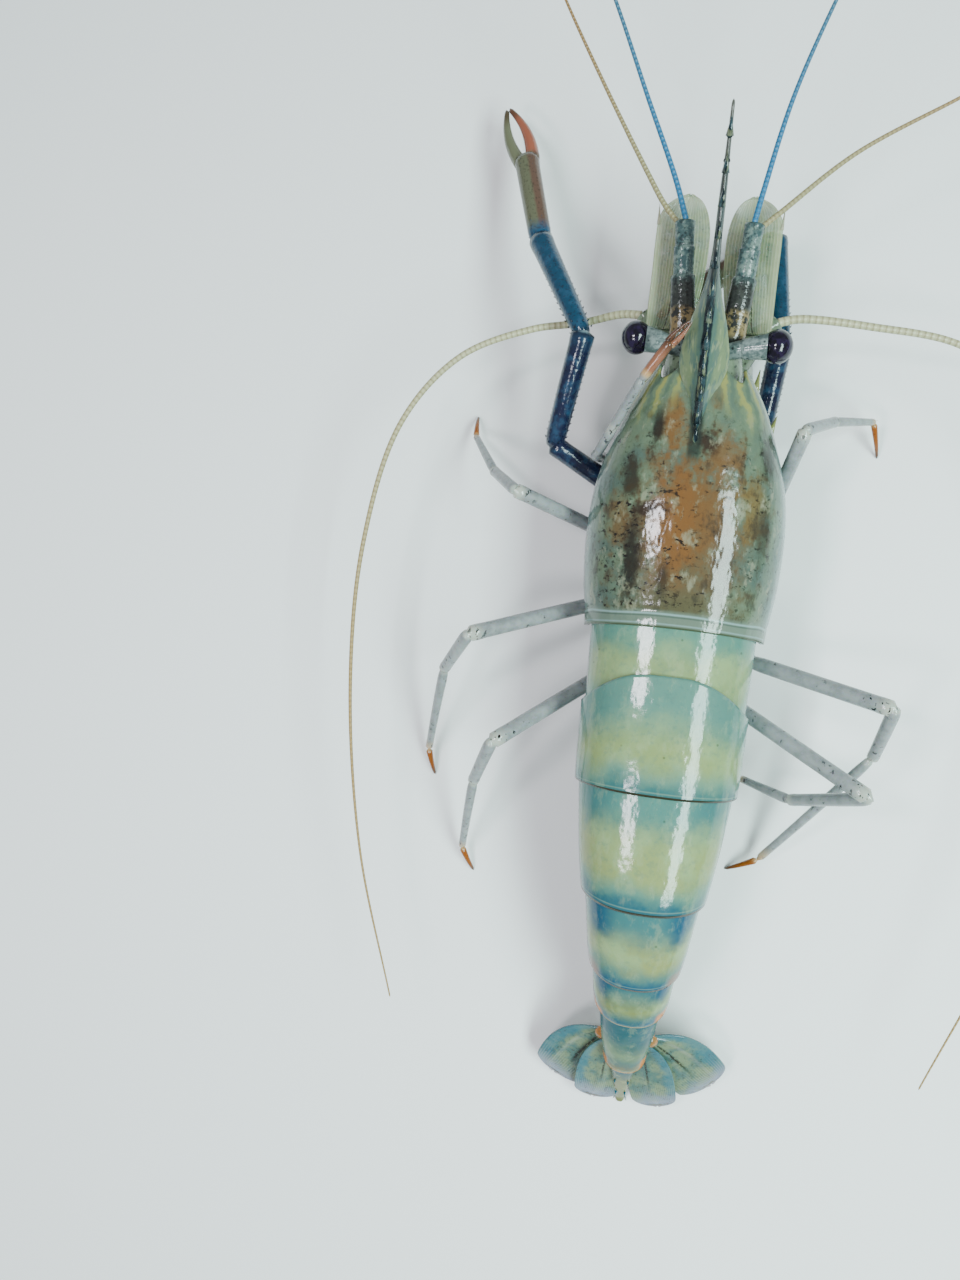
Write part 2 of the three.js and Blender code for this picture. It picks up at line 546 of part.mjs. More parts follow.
// Second legs: the long blue claws. The left one reaches forward, the right one is folded in under the head.
const CLAWS = [
  { name: "left", joints: [[-10, 27.5, 14], [-32.6, 39.6, 23], [-27.4, 63.2, 34], [-41.4, 88, 21.5]], palm: [-48.2, 109.6, 14.6], tip: [-55.4, 124.6, 9.4], open: 1.5 },
  { name: "right", joints: [[9.5, 29, 14], [15, 47, 13.5], [17.2, 69, 14], [13.2, 94, 12.5]], palm: [-4.6, 81, 10.6], tip: [-15, 70.4, 9.6], open: 0.3 },
];
const CLAW_THICKNESS = [[2.8, 2.5], [2.5, 2.9], [2.3, 3.1]];
const PALM_RADIUS = [2.9, 3.2];

const clawArm = ({ joints }) => limb(joints.map((p) => point(...p)), CLAW_THICKNESS, { sides: 10 });
const clawArmGrown = ({ joints }) => limb(
  joints.map((p) => point(...p)),
  CLAW_THICKNESS.map(([start, end]) => [start + GAP, end + GAP]),
  { sides: 10, longer: GAP },
);
const clawArmSolid = (claw) => cutBy(clawArm(claw), thorax(GAP), carapace(GAP));

function clawHand(claw) {
  const wrist = point(...claw.joints[claw.joints.length - 1]);
  const palm = point(...claw.palm);
  const tip = point(...claw.tip);
  const forward = tip.clone().sub(palm).normalize();
  const across = new THREE.Vector3().crossVectors(forward, point(0, 0, 1)).normalize();
  const hand = podomere(wrist, palm, ...PALM_RADIUS, { sides: 10, flatten: 0.85 });
  return cutBy(joined(hand, ...fingers(palm, tip, claw.open, PALM_RADIUS[1], across)), clawArmGrown(claw));
}

// swimmerets under the abdomen
const SWIMMERETS = [
  { s: 9, x: 7, length: 13 }, { s: 27, x: 7.4, length: 13.5 }, { s: 48, x: 7, length: 13 },
  { s: 71, x: 5.8, length: 11.5 }, { s: 87, x: 4.4, length: 9.5 },
];
function swimmeret(index, side) {
  const { s, x, length } = SWIMMERETS[index];
  const belly = along(ABDOMEN_DEPTH, s);
  const root = inBody(s, side * x, belly - 1.5);
  const tip = root.clone().add(point(side * 1.2, -length * 0.72, -length * 0.62));
  const axis = tip.clone().sub(root).normalize();
  const width = length * 0.27;
  const leaf = podomere(root, tip.clone().addScaledVector(axis, -width), width * 0.62, width, {
    sides: 10, flatten: 0.3, up: point(0, -0.65, 0.75),
  });
  return cutBy(onFloor(leaf), ...[index - 1, index, index + 1].filter((i) => i >= 0).map((i) => segment(i, SHELL_GAP)));
}

// materials
const material = (colour, roughness, metalness = 0) => new THREE.MeshStandardMaterial({ color: colour, roughness, metalness });
const MATERIALS = {
  carapace: material(0x8f8f72, 0.25),
  abdomen: material(0x93aa98, 0.25),
  rostrum: material(0x2f4648, 0.3),
  flesh: material(0x9fae9c, 0.35),
  eye: material(0x1d1726, 0.1),
  stalk: material(0x6f7a78, 0.3),
  whipBlue: material(0x3f7d9c, 0.35),
  whipBeige: material(0xc2ac7c, 0.4),
  scale: material(0xb4bfa6, 0.3),
  leg: material(0xc3c8c4, 0.3),
  claw: material(0x2c4a68, 0.25),
  fan: material(0x9aa98f, 0.3),
  swimmeret: material(0xa9b7ad, 0.4),
};

// the animal
const prawn = new THREE.Group();
function addNode(name, solid, finish) {
  const mesh = solid.getMesh();
  const positions = new Float32Array(mesh.numVert * 3);
  for (let i = 0; i < mesh.numVert; i++) {
    positions.set(mesh.vertProperties.subarray(i * mesh.numProp, i * mesh.numProp + 3), i * 3);
  }
  const geometry = new THREE.BufferGeometry()
    .setAttribute("position", new THREE.BufferAttribute(positions, 3))
    .setIndex(new THREE.BufferAttribute(mesh.triVerts, 1));
  geometry.computeVertexNormals();
  const node = new THREE.Mesh(geometry, finish);
  node.name = name;
  prawn.add(node);
}

addNode("carapace", carapace(), MATERIALS.carapace);
addNode("rostrum", rostrum(), MATERIALS.rostrum);
addNode("head", head(), MATERIALS.flesh);
addNode("thorax", thorax(), MATERIALS.flesh);
SEGMENT_ENDS.forEach((_, i) => addNode(`abdomen_${i + 1}`, abdomenSegment(i), MATERIALS.abdomen));
addNode("telson", telson(), MATERIALS.abdomen);
const fanSolids = [];
for (const part of FAN) {
  const raw = uropod(part);
  const cut = cutBy(raw, segment(5, GAP), segment(4, GAP), telson(GAP), ...fanSolids);
  const nudges = [[1, 0, 0], [-1, 0, 0], [0, 1, 0], [0, -1, 0], [0, 0, 1], [0, 0, -1]].map(
    (way) => way.map((step) => step * SHELL_GAP),
  );
  fanSolids.push(joined(raw, ...nudges.map((nudge) => raw.translate(nudge))));
  addNode(part.name, onFloor(cut), MATERIALS.fan);
}

const SIDES = [["right", 1], ["left", -1]];
for (const [word, side] of SIDES) {
  addNode(`eyestalk_${word}`, cutBy(stalk(side), headGrown(), carapace(GAP)), MATERIALS.stalk);
  addNode(`eye_${word}`, eye(side), MATERIALS.eye);
  addNode(`antennule_stem_${word}`, cutBy(antennuleStem(side), headGrown(), stalk(side, GAP)), MATERIALS.stalk);
  addNode(`antenna_base_${word}`, cutBy(antennaBase(side), headGrown(), carapace(GAP)), MATERIALS.flesh);
  addNode(`antenna_scale_${word}`, antennaScale(side), MATERIALS.scale);
  const [near, far] = antennaWhips(side > 0 ? ANTENNA_RIGHT : ANTENNA_LEFT, side);
  addNode(`antenna_whip_near_${word}`, near, MATERIALS.whipBeige);
  addNode(`antenna_whip_far_${word}`, far, MATERIALS.whipBeige);
  addNode(`maxilliped_${word}`, maxilliped(side), MATERIALS.leg);
  SWIMMERETS.forEach((_, i) => addNode(`swimmeret_${i + 1}_${word}`, swimmeret(i, side), MATERIALS.swimmeret));
}
for (const { name, side, radius, path } of WHIPS) {
  const whip = feeler(path.map((p) => point(...p)), radius, 0.27, { sides: 6, rings: 16 });
  const finish = name.includes("outer") ? MATERIALS.whipBlue : MATERIALS.whipBeige;
  addNode(name, cutBy(whip, antennuleStem(side, GAP)), finish);
}
for (const leg of WALKING_LEGS) addNode(leg.name, walkingLeg(leg), MATERIALS.leg);
for (const leg of FIRST_LEGS) addNode(leg.name, firstLeg(leg), MATERIALS.leg);
for (const claw of CLAWS) {
  addNode(`claw_arm_${claw.name}`, clawArmSolid(claw), MATERIALS.claw);
  addNode(`claw_hand_${claw.name}`, clawHand(claw), MATERIALS.claw);
}

const box = new THREE.Box3().setFromObject(prawn);
const middle = box.getCenter(new THREE.Vector3());
prawn.position.set(-middle.x, -middle.y, 0);

export default prawn;
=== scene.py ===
# %% [markdown]
# A giant river prawn, life size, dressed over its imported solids. The solids say where every shell plate,
# leg and feeler is. This script gives each of them its real surface: wet glassy shell over banded flesh,
# a toothed crest, jointed legs, and feelers that taper to hairs. Everything is measured in millimetres in
# the same coordinates as the part's source. Y = 0 is the rear edge of the carapace, the head points along
# +Y, the animal's right side is +X and the floor is Z = 0.

import math
import random

import bmesh
import bpy
from mathutils import Matrix, Vector, noise


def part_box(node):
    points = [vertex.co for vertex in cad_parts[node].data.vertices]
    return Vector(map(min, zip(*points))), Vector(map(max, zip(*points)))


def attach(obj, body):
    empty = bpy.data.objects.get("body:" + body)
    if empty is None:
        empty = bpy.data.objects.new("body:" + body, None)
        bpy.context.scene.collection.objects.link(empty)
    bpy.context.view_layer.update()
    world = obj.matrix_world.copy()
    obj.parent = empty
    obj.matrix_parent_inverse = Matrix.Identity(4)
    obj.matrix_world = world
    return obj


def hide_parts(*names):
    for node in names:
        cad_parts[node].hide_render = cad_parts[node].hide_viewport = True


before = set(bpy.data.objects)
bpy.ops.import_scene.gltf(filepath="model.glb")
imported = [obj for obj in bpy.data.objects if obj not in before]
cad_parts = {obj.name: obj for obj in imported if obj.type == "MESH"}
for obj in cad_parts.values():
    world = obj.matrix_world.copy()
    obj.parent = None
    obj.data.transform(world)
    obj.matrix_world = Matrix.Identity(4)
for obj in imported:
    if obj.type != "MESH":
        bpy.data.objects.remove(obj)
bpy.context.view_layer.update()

# %% [markdown]
# The part's origin is under the middle of its bounding box, which the feelers move about. The two eyes
# are mirror images and their height is known, so the middle between them says how far the whole animal
# was moved.

# %% Find the move from drawing coordinates to the part's frame
MM = 0.001
EYE_CENTRE = Vector((14.9, 62.0, 38.4))


def solid_middle(name):
    low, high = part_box(name)
    return (low + high) / 2


between_eyes = (solid_middle("eye_right") + solid_middle("eye_left")) / 2
MOVE = Vector((between_eyes.x, between_eyes.y - EYE_CENTRE.y * MM, 0))
TO_FRAME = Matrix.Translation(MOVE) @ Matrix.Scale(MM, 4)
print("moved by", [round(v / MM, 2) for v in MOVE], "mm")

# %% [markdown]
# The photograph looks almost straight down on the back from about 28 cm. The lens is wide, so the long
# whips near it run off the top of the picture. The picture is taken to be 960 by 1280 pixels.

# %% Camera
PHOTO_HEIGHT = 1280
FOCAL_PIXELS = 1100
SENSOR_HEIGHT = 24
CAMERA_AT = Vector((1.2, -3.0, 282.3))
CAMERA_ROLL = math.radians(6.5)
CAMERA_SIDEWAYS = math.radians(10.174)

camera = bpy.data.objects.new("camera", bpy.data.cameras.new("camera"))
bpy.context.scene.collection.objects.link(camera)
camera.data.sensor_fit = "VERTICAL"
camera.data.sensor_height = SENSOR_HEIGHT
camera.data.lens = SENSOR_HEIGHT * FOCAL_PIXELS / PHOTO_HEIGHT
camera.data.clip_start = 0.005
camera.matrix_world = (
    Matrix.Translation(TO_FRAME @ CAMERA_AT)
    @ Matrix.Rotation(CAMERA_ROLL, 4, "Z")
    @ Matrix.Rotation(CAMERA_SIDEWAYS, 4, "Y")
)
bpy.context.scene.camera = camera
print("lens", round(camera.data.lens, 1), "mm")

# %% [markdown]
# A pale floor and soft studio light. Soft boxes hang over both flanks, because a wet back shows its
# roundness mainly through the reflections that run down its sides. Lights are placed in metres, in the
# part's frame.

# %% Floor and lights
scene = bpy.context.scene
scene.world = bpy.data.worlds.new("studio")
scene.world.use_nodes = True
sky = scene.world.node_tree.nodes["Background"].inputs
sky["Color"].default_value = (0.84, 0.9, 0.95, 1)
sky["Strength"].default_value = 0.4

SOFT_BOXES = [
    # name, place, size along the animal and across it, watts, colour
    ("over_right_flank", (0.3, -0.14, 0.5), (0.52, 0.15), 6.4, (0.76, 1, 0.96)),
    ("over_left_shoulder", (-0.19, 0.022, 0.5), (0.06, 0.11), 0.9, (0.95, 0.94, 1)),
    ("over_left_flank", (-0.19, -0.21, 0.5), (0.1, 0.1), 1.0, (0.95, 0.94, 1)),
]
BACK_UP = 0.02  # each box faces a point this high on the middle line beside it

for name, place, size, watts, tint in SOFT_BOXES:
    light = bpy.data.lights.new(name, "AREA")
    light.shape = "RECTANGLE"
    light.size, light.size_y = size
    light.energy = watts
    light.color = tint
    lamp = bpy.data.objects.new(name, light)
    scene.collection.objects.link(lamp)
    lamp.location = place
    direction = Vector((0, place[1], BACK_UP)) - Vector(place)
    lamp.rotation_euler = direction.to_track_quat("-Z", "Y").to_euler()

floor_mesh = bmesh.new()
bmesh.ops.create_grid(floor_mesh, x_segments=1, y_segments=1, size=3)
floor = bpy.data.objects.new("floor", bpy.data.meshes.new("floor"))
floor_mesh.to_mesh(floor.data)
floor_mesh.free()
scene.collection.objects.link(floor)
floor_paint = bpy.data.materials.new("floor")
floor_paint.use_nodes = True
floor_looks = floor_paint.node_tree.nodes["Principled BSDF"].inputs
floor_looks["Base Color"].default_value = (0.93, 0.94, 0.94, 1)
floor_looks["Roughness"].default_value = 0.6
floor.data.materials.append(floor_paint)

# %% [markdown]
# A living prawn's shell is a set of plates threaded on one curved body. So every plate is drawn flat, as
# a grid, and then laid on the body by three numbers: its station along the back, its distance to the side
# and its depth under the back line. These tables are the same driving sizes as the solids have, so the
# two agree.

# %% Measures of the body
BACK_HEIGHT = 44.5
BACK_SLOPE = [
    (-60, -9), (-45, -6), (-28, -1), (-8, 3), (0, -3), (14, -5), (25, 0),
    (45, 5), (63, 12), (82, 25), (94, 36), (115, 44), (138, 49),
]
CARAPACE_HALF_WIDTH = [
    (-60, 9), (-57, 11), (-51, 14.6), (-44, 17.6), (-32, 21.1), (-20, 22.2), (-8, 21.7), (2, 20.2),
]
CARAPACE_WIDEST_DEPTH = [(-60, 9), (-44, 14), (-20, 17), (2, 17)]
CARAPACE_DEPTH = [(-60, 13), (-52, 19), (-40, 26), (-20, 31), (2, 29)]
ABDOMEN_HALF_WIDTH = [
    (-4, 18.9), (14, 18.7), (37, 18), (46, 16.9), (55, 15.4),
    (63, 14), (77, 11.4), (91, 8.9), (104, 6.7), (115, 5.1),
]
ABDOMEN_DEPTH = [(-4, 27), (14, 28), (37, 28), (55, 25.5), (63, 23.5), (82, 18.5), (94, 14.5), (115, 8.5)]
SEGMENT_ENDS = [14, 37, 63, 82, 94, 115]
TELSON_TIP = 138


def along(rows, at):
    """Smooth value of a table of (place, value) rows."""
    if at <= rows[0][0]:
        return rows[0][1]
    if at >= rows[-1][0]:
        return rows[-1][1]
    i = max(k for k, row in enumerate(rows) if row[0] <= at)

    def pull(k):
        if k in (0, len(rows) - 1):
            return 0
        return (rows[k + 1][1] - rows[k - 1][1]) / (rows[k + 1][0] - rows[k - 1][0])

    (start, low), (end, high) = rows[i], rows[i + 1]
    span = end - start
    t = (at - start) / span
    bend = pull(i) * span * t * (1 - t) ** 2 + pull(i + 1) * span * t * t * (t - 1)
    return low + (high - low) * t * t * (3 - 2 * t) + bend


def smooth(value, low, high):
    """0 below low and 1 above high, with an easy curve between."""
    t = min(max((value - low) / (high - low), 0), 1)
    return t * t * (3 - 2 * t)


def mix(a, b, t):
    return a + (b - a) * t


STRIDE = 0.5


def walk_back(end):
    """Points (Y, Z) of the back line from the carapace's rear edge, one stride apart."""
    way = 1 if end > 0 else -1
    y, z, s = 0.0, BACK_HEIGHT, 0.0
    points = [(y, z)]
    while abs(s) < abs(end):
        slope = math.radians(along(BACK_SLOPE, s + way * STRIDE / 2))
        y -= math.cos(slope) * STRIDE * way
        z -= math.sin(slope) * STRIDE * way
        s += STRIDE * way
        points.append((y, z))
    return points


BACK_TO_TAIL = walk_back(150)
BACK_TO_HEAD = walk_back(-80)


def in_body(s, x, depth):
    """The point at a station, a distance to the side and a depth square to the back line."""
    points = BACK_TO_HEAD if s < 0 else BACK_TO_TAIL
    i = min(int(abs(s) / STRIDE), len(points) - 2)
    part = abs(s) / STRIDE - i
    y = mix(points[i][0], points[i + 1][0], part)
    z = mix(points[i][1], points[i + 1][1], part)
    slope = math.radians(along(BACK_SLOPE, s))
    return Vector((x, y + depth * math.sin(slope), z - depth * math.cos(slope)))


def oval(angle, half_width, widest_depth, depth):
    """Section of the body: x and depth at an angle from the back, round above and flattened below."""
    side, up = math.sin(angle), math.cos(angle)
    x = math.copysign(abs(side) ** 0.86, side) * half_width
    if up >= 0:
        return x, widest_depth - widest_depth * up**0.94
    return x, widest_depth + (depth - widest_depth) * (-up) ** 0.8


print("back line from", in_body(-57, 0, 0), "to", in_body(TELSON_TIP, 0, 0))

# %% [markdown]
# Two helpers do nearly all the modelling. skin makes a grid of faces and moves each point to its place on
# the body, keeping a UV map: U runs round the body and V runs along it, so patterns can follow the
# plates. piece turns a finished mesh into an object in the part's frame that stands for one or more of
# the solids.

# %% Skins and pieces
MERGE = 0.004  # where a skin closes on itself, points closer than this become one


def skin(around, lengthwise, place, wrap=False):
    """A grid whose points are put in place by a function of u (0 to 1 around) and v (0 to 1 along)."""
    mesh = bmesh.new()
    mesh.loops.layers.uv.new("UVMap")
    bmesh.ops.create_grid(mesh, x_segments=around, y_segments=lengthwise, size=0.5, calc_uvs=True)
    for vert in mesh.verts:
        vert.co = place(vert.co.x + 0.5, vert.co.y + 0.5)
    if wrap:
        bmesh.ops.remove_doubles(mesh, verts=mesh.verts, dist=MERGE)
    return mesh


def add_mesh(mesh, other):
    """Joins a second mesh into the first."""
    kept = bpy.data.meshes.new("kept")
    other.to_mesh(kept)
    other.free()
    mesh.from_mesh(kept)
    bpy.data.meshes.remove(kept)
    return mesh


def face_away(mesh, inside):
    """Turns an open plate so that its faces point away from a point inside the body."""
    bmesh.ops.recalc_face_normals(mesh, faces=mesh.faces)
    outward = 0
    for face in mesh.faces:
        outward += (face.calc_center_median() - inside).dot(face.normal) * face.calc_area()
    if outward < 0:
        bmesh.ops.reverse_faces(mesh, faces=mesh.faces)


def piece(name, mesh, paint, nodes=(), plate=None, inside=None):
    """An object from a mesh in millimetres. plate gives an open plate that thickness, inwards."""
    if inside is None:
        bmesh.ops.recalc_face_normals(mesh, faces=mesh.faces)
    else:
        face_away(mesh, inside)
    for face in mesh.faces:
        face.smooth = True
    obj = bpy.data.objects.new(name, bpy.data.meshes.new(name))
    mesh.to_mesh(obj.data)
    mesh.free()
    obj.data.transform(TO_FRAME)
    obj.data.materials.append(paint)
    scene.collection.objects.link(obj)
    if plate:
        solidify = obj.modifiers.new("thickness", "SOLIDIFY")
        solidify.thickness = plate * MM
        solidify.offset = -1
    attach(obj, "root")
    if nodes:
        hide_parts(*nodes)
    print(f"{name}: {len(obj.data.polygons)} faces")

# %% [markdown]
# The finishes. All of them are wet shell: colour that varies in bands, clouds and specks under a clear
# gloss. Wire lets shader maths be written as ordinary arithmetic, and Finish adds any other node in one
# call.

# %% Shader arithmetic
class Wire:
    """A number that varies over a surface."""

    def __init__(self, finish, socket):
        self.finish, self.socket = finish, socket

    def maths(self, operation, *values):
        return self.finish.node("ShaderNodeMath", {"operation": operation}, dict(enumerate(values)))

    def __add__(self, other):
        return self.maths("ADD", self, other)

    __radd__ = __add__

    def __sub__(self, other):
        return self.maths("SUBTRACT", self, other)

    def __rsub__(self, other):
        return self.maths("SUBTRACT", other, self)

    def __mul__(self, other):
        return self.maths("MULTIPLY", self, other)

    __rmul__ = __mul__

    def __abs__(self):
        return self.maths("ABSOLUTE", self)

    def fraction(self):
        return self.maths("FRACT", self)

    def sine(self):
        return self.maths("SINE", self)

    def above(self, low, high):
        """0 below low, 1 above high, eased between."""
        settings = {"interpolation_type": "SMOOTHSTEP"}
        return self.finish.node("ShaderNodeMapRange", settings, {0: self, 1: low, 2: high, 3: 0.0, 4: 1.0})

    def near(self, centre, reach):
        """1 at centre and 0 at a distance of reach and beyond."""
        return 1 - abs(self - centre).above(0.0, reach)


def colour(code):
    """Linear colour from a code of six hexadecimal digits."""
    parts = [int(code[i : i + 2], 16) / 255 for i in (0, 2, 4)]
    return tuple(p / 12.92 if p <= 0.04045 else ((p + 0.055) / 1.055) ** 2.4 for p in parts) + (1,)


class Finish:
    """One material, on the principled shader."""

    def __init__(self, name, **constants):
        self.material = bpy.data.materials.new(name)
        self.material.use_nodes = True
        self.tree = self.material.node_tree
        self.shader = self.tree.nodes["Principled BSDF"]
        for socket, value in constants.items():
            self.shader.inputs[socket.replace("_", " ")].default_value = value

    def node(self, kind, settings=None, inputs=None, output=0):
        node = self.tree.nodes.new(kind)
        for key, value in (settings or {}).items():
            setattr(node, key, value)
        for key, value in (inputs or {}).items():
            if isinstance(value, Wire):
                self.tree.links.new(value.socket, node.inputs[key])
            else:
                node.inputs[key].default_value = value
        return Wire(self, node.outputs[output])

    def feed(self, socket, wire):
        self.tree.links.new(wire.socket, self.shader.inputs[socket])

    def clouds(self, size_mm, detail=3.0, stretch=(1, 1, 1), rough=0.5):
        """Cloudy noise whose blotches are about size_mm across."""
        where = self.node("ShaderNodeTexCoord", output="Object")
        where = self.node("ShaderNodeMapping", {}, {"Vector": where, "Scale": stretch})
        inputs = {"Vector": where, "Scale": 1 / MM / size_mm, "Detail": detail, "Roughness": rough}
        return self.node("ShaderNodeTexNoise", {}, inputs)

    def specks(self, spacing_mm, low, high):
        """Dots about spacing_mm apart: 1 in a dot, 0 between."""
        where = self.node("ShaderNodeTexCoord", output="Object")
        dots = self.node("ShaderNodeTexVoronoi", {}, {"Vector": where, "Scale": 1 / MM / spacing_mm})
        return 1 - dots.above(low, high)

    def surface(self):
        """The piece's own U, around it, and V, along it."""
        where = self.node("ShaderNodeUVMap", {"uv_map": "UVMap"})
        return tuple(self.node("ShaderNodeSeparateXYZ", {}, {0: where}, output=k) for k in (0, 1))

    def spot(self, stretch, centre, reach):
        """Distance from a centre in drawing coordinates, as a share of reach, stretched along each axis."""
        where = self.node("ShaderNodeTexCoord", output="Object")
        middle = TO_FRAME @ Vector(centre)
        away = self.node("ShaderNodeVectorMath", {"operation": "SUBTRACT"}, {0: where, 1: tuple(middle)})
        scaled = self.node("ShaderNodeVectorMath", {"operation": "MULTIPLY"}, {0: away, 1: stretch})
        length = self.node("ShaderNodeVectorMath", {"operation": "LENGTH"}, {0: scaled}, output="Value")
        return length * (1 / MM / reach)

    def base(self, mask, under, over):
        """Starts the paint: colour under, covered by colour over where the mask is 1."""
        inputs = {0: mask, 6: under if isinstance(under, Wire) else colour(under), 7: colour(over)}
        self.paint = self.node("ShaderNodeMix", {"data_type": "RGBA"}, inputs, output=2)

    def cover(self, mask, over):
        """Covers the paint so far with another colour where the mask is 1."""
        self.base(mask, self.paint, over)

    def finished(self, relief, depth_mm, strength):
        """Feeds the paint and a small relief to the shader, and gives the material."""
        inputs = {"Height": relief, "Distance": depth_mm * MM, "Strength": strength}
        self.feed("Base Color", self.paint)
        self.feed("Normal", self.node("ShaderNodeBump", {}, inputs))
        return self.material


WET = {"Roughness": 0.12, "Specular_IOR_Level": 0.6, "IOR": 1.45}


def wet(name, **changes):
    return Finish(name, **{**WET, **changes})


print("wet shell:", WET)

# %% [markdown]
# The carapace is clear enough to see what lies below: an orange-brown cloud of organs along the middle,
# black and brown smears over it, and pale blue-green cheeks, whose paleness is partly the shell's own tint
# and partly painted light shining through the thin edge. Green-yellow streaks run together on the root of
# the crest. Each blotch of the pattern is a soft spot set on the body by its place and reach in
# millimetres, and noise breaks up its edge. The specks come last.

# %% Carapace finish
CARAPACE_SPOTS = [
    # colour, strength, middle (x, y), reach (x, y)
    ("574a33", 0.95, (0, 16), (15, 26)),
    ("66492a", 0.9, (0.5, 24), (11, 13)),
    ("704a26", 0.75, (-2, 21), (5, 13)),
    ("6c4a26", 0.9, (-5, 43.5), (3.4, 7)),
    ("654a2c", 0.85, (6.4, 37), (4.4, 5.6)),
    ("63492b", 0.8, (4, 49.5), (1.7, 3.6)),
    ("5f482a", 0.8, (-14, 22), (2.9, 7)),
    ("69552d", 0.7, (14, 27), (3.6, 7)),
    ("2b201a", 0.9, (3, 39.2), (2.8, 3.2)),
    ("1b1916", 0.9, (-8, 42.5), (1.7, 5.4)),
    ("271c18", 0.85, (-8, 24.3), (5.4, 2)),
    ("1c1a17", 0.9, (-10.8, 12), (2.4, 11)),
    ("232019", 0.8, (-12.6, 30), (2.4, 5.5)),
    ("24211c", 0.7, (16.2, 38), (2, 6)),
    ("2f2c25", 0.65, (16.4, 22), (1.9, 8)),
    ("3a2e20", 0.7, (8.5, 14), (2.2, 8)),
    ("1e1b18", 0.7, (-3.5, 9), (1.6, 5)),
    ("4b4a34", 0.7, (0, 2.5), (15, 5)),
]


def carapace_finish():
    flesh = {"Subsurface_Weight": 0.05, "Subsurface_Scale": 0.0015, "Subsurface_Radius": (1.0, 0.8, 0.5)}
    f = wet("wet_carapace", **flesh)
    around, lengthwise = f.surface()
    off_middle = abs(around - 0.5) * 2
    clouds = f.clouds(8, 4)
    fine = f.clouds(2.4, 5, rough=0.62)
    streaky = f.clouds(3.4, 5, stretch=(1, 0.55, 1), rough=0.66)
    f.base(clouds.above(0.36, 0.66), "5d6d57", "485a51")
    # cheeks: bluish and clear; their paleness is partly the shell's own tint and partly painted light
    # shining through the thin edge
    f.cover(off_middle.above(0.4, 0.62) * 0.9, "6d8785")
    f.cover(off_middle.above(0.5, 0.8) * f.clouds(5, 3).above(0.42, 0.6) * 0.7, "4a6b70")
    for code, strength, (x, y), (reach_x, reach_y) in CARAPACE_SPOTS:
        away = f.spot((1, reach_x / reach_y, 0), (x, y, 0), reach_x)
        ragged = away + (fine - 0.5) * 1.6 + (streaky - 0.5) * 1.8
        mask = (1 - ragged.above(0.3, 1.3)) * (1 - off_middle.above(0.5, 0.64))
        f.cover(mask * strength, code)
    # mottling between the blotches, pale and dark
    f.cover(streaky.above(0.55, 0.68) * 0.45, "9a977c")
    f.cover((1 - streaky.above(0.33, 0.46)) * 0.6, "2c2b25")
    # dashes and smudges of black-brown, thickest on the left and behind
    zone = (1 - off_middle.above(0.42, 0.62)) * lengthwise.above(0.12, 0.3)
    grain = f.clouds(1.1, 4, stretch=(0.6, 1, 1), rough=0.7)
    left_rear = 1 - f.spot((1, 0.6, 0), (-9, 12, 0), 9).above(0.6, 1.3)
    patches = f.clouds(5, 4, rough=0.6).above(0.4, 0.6) + left_rear * 0.7
    f.cover(grain.above(0.54, 0.64) * patches * zone * 0.9, "1a1613")
    # the long dark root that the crest stands on, and streaks that run forward to it
    keel = (1 - f.spot((1, 0, 0), (0, 0, 0), 1.9).above(0.45, 1.0)) * (1 - lengthwise.above(0.36, 0.41))
    f.cover(keel * 0.8, "141f1e")
    front = 1 - (lengthwise + (clouds - 0.5) * 0.12).above(0.06, 0.22)
    f.cover(front * 0.7, "667759")
    streak = (around * 100 + clouds * 12 + fine * 3).sine()
    f.cover(front * streak.above(0.1, 0.95) * 0.65, "96924a")
    f.cover(front * (1 - streak.above(-0.95, -0.3)) * 0.5, "3c504d")
    # rear margin: a clear band with fine pale-blue and dark lines
    f.cover(lengthwise.above(0.93, 0.95) * 0.8, "66786a")
    f.cover(lengthwise.near(0.95, 0.006) * 0.6, "8fb0b2")
    f.cover(lengthwise.near(0.958, 0.005) * 0.6, "33443f")
    f.cover(lengthwise.near(0.986, 0.005) * 0.5, "86a6a8")
    f.cover(lengthwise.near(0.997, 0.008), "39442f")
    return f.finished(f.clouds(2.6, 2, stretch=(1, 0.55, 1)) + fine * 0.1, 0.32, 0.62)


CARAPACE_PAINT = carapace_finish()

# %% [markdown]
# Each abdominal plate is a band of pale olive-green between bands of teal, with a thin dark rim at its
# rear edge. Towards the tail the teal deepens to blue, and cream-orange corners appear.

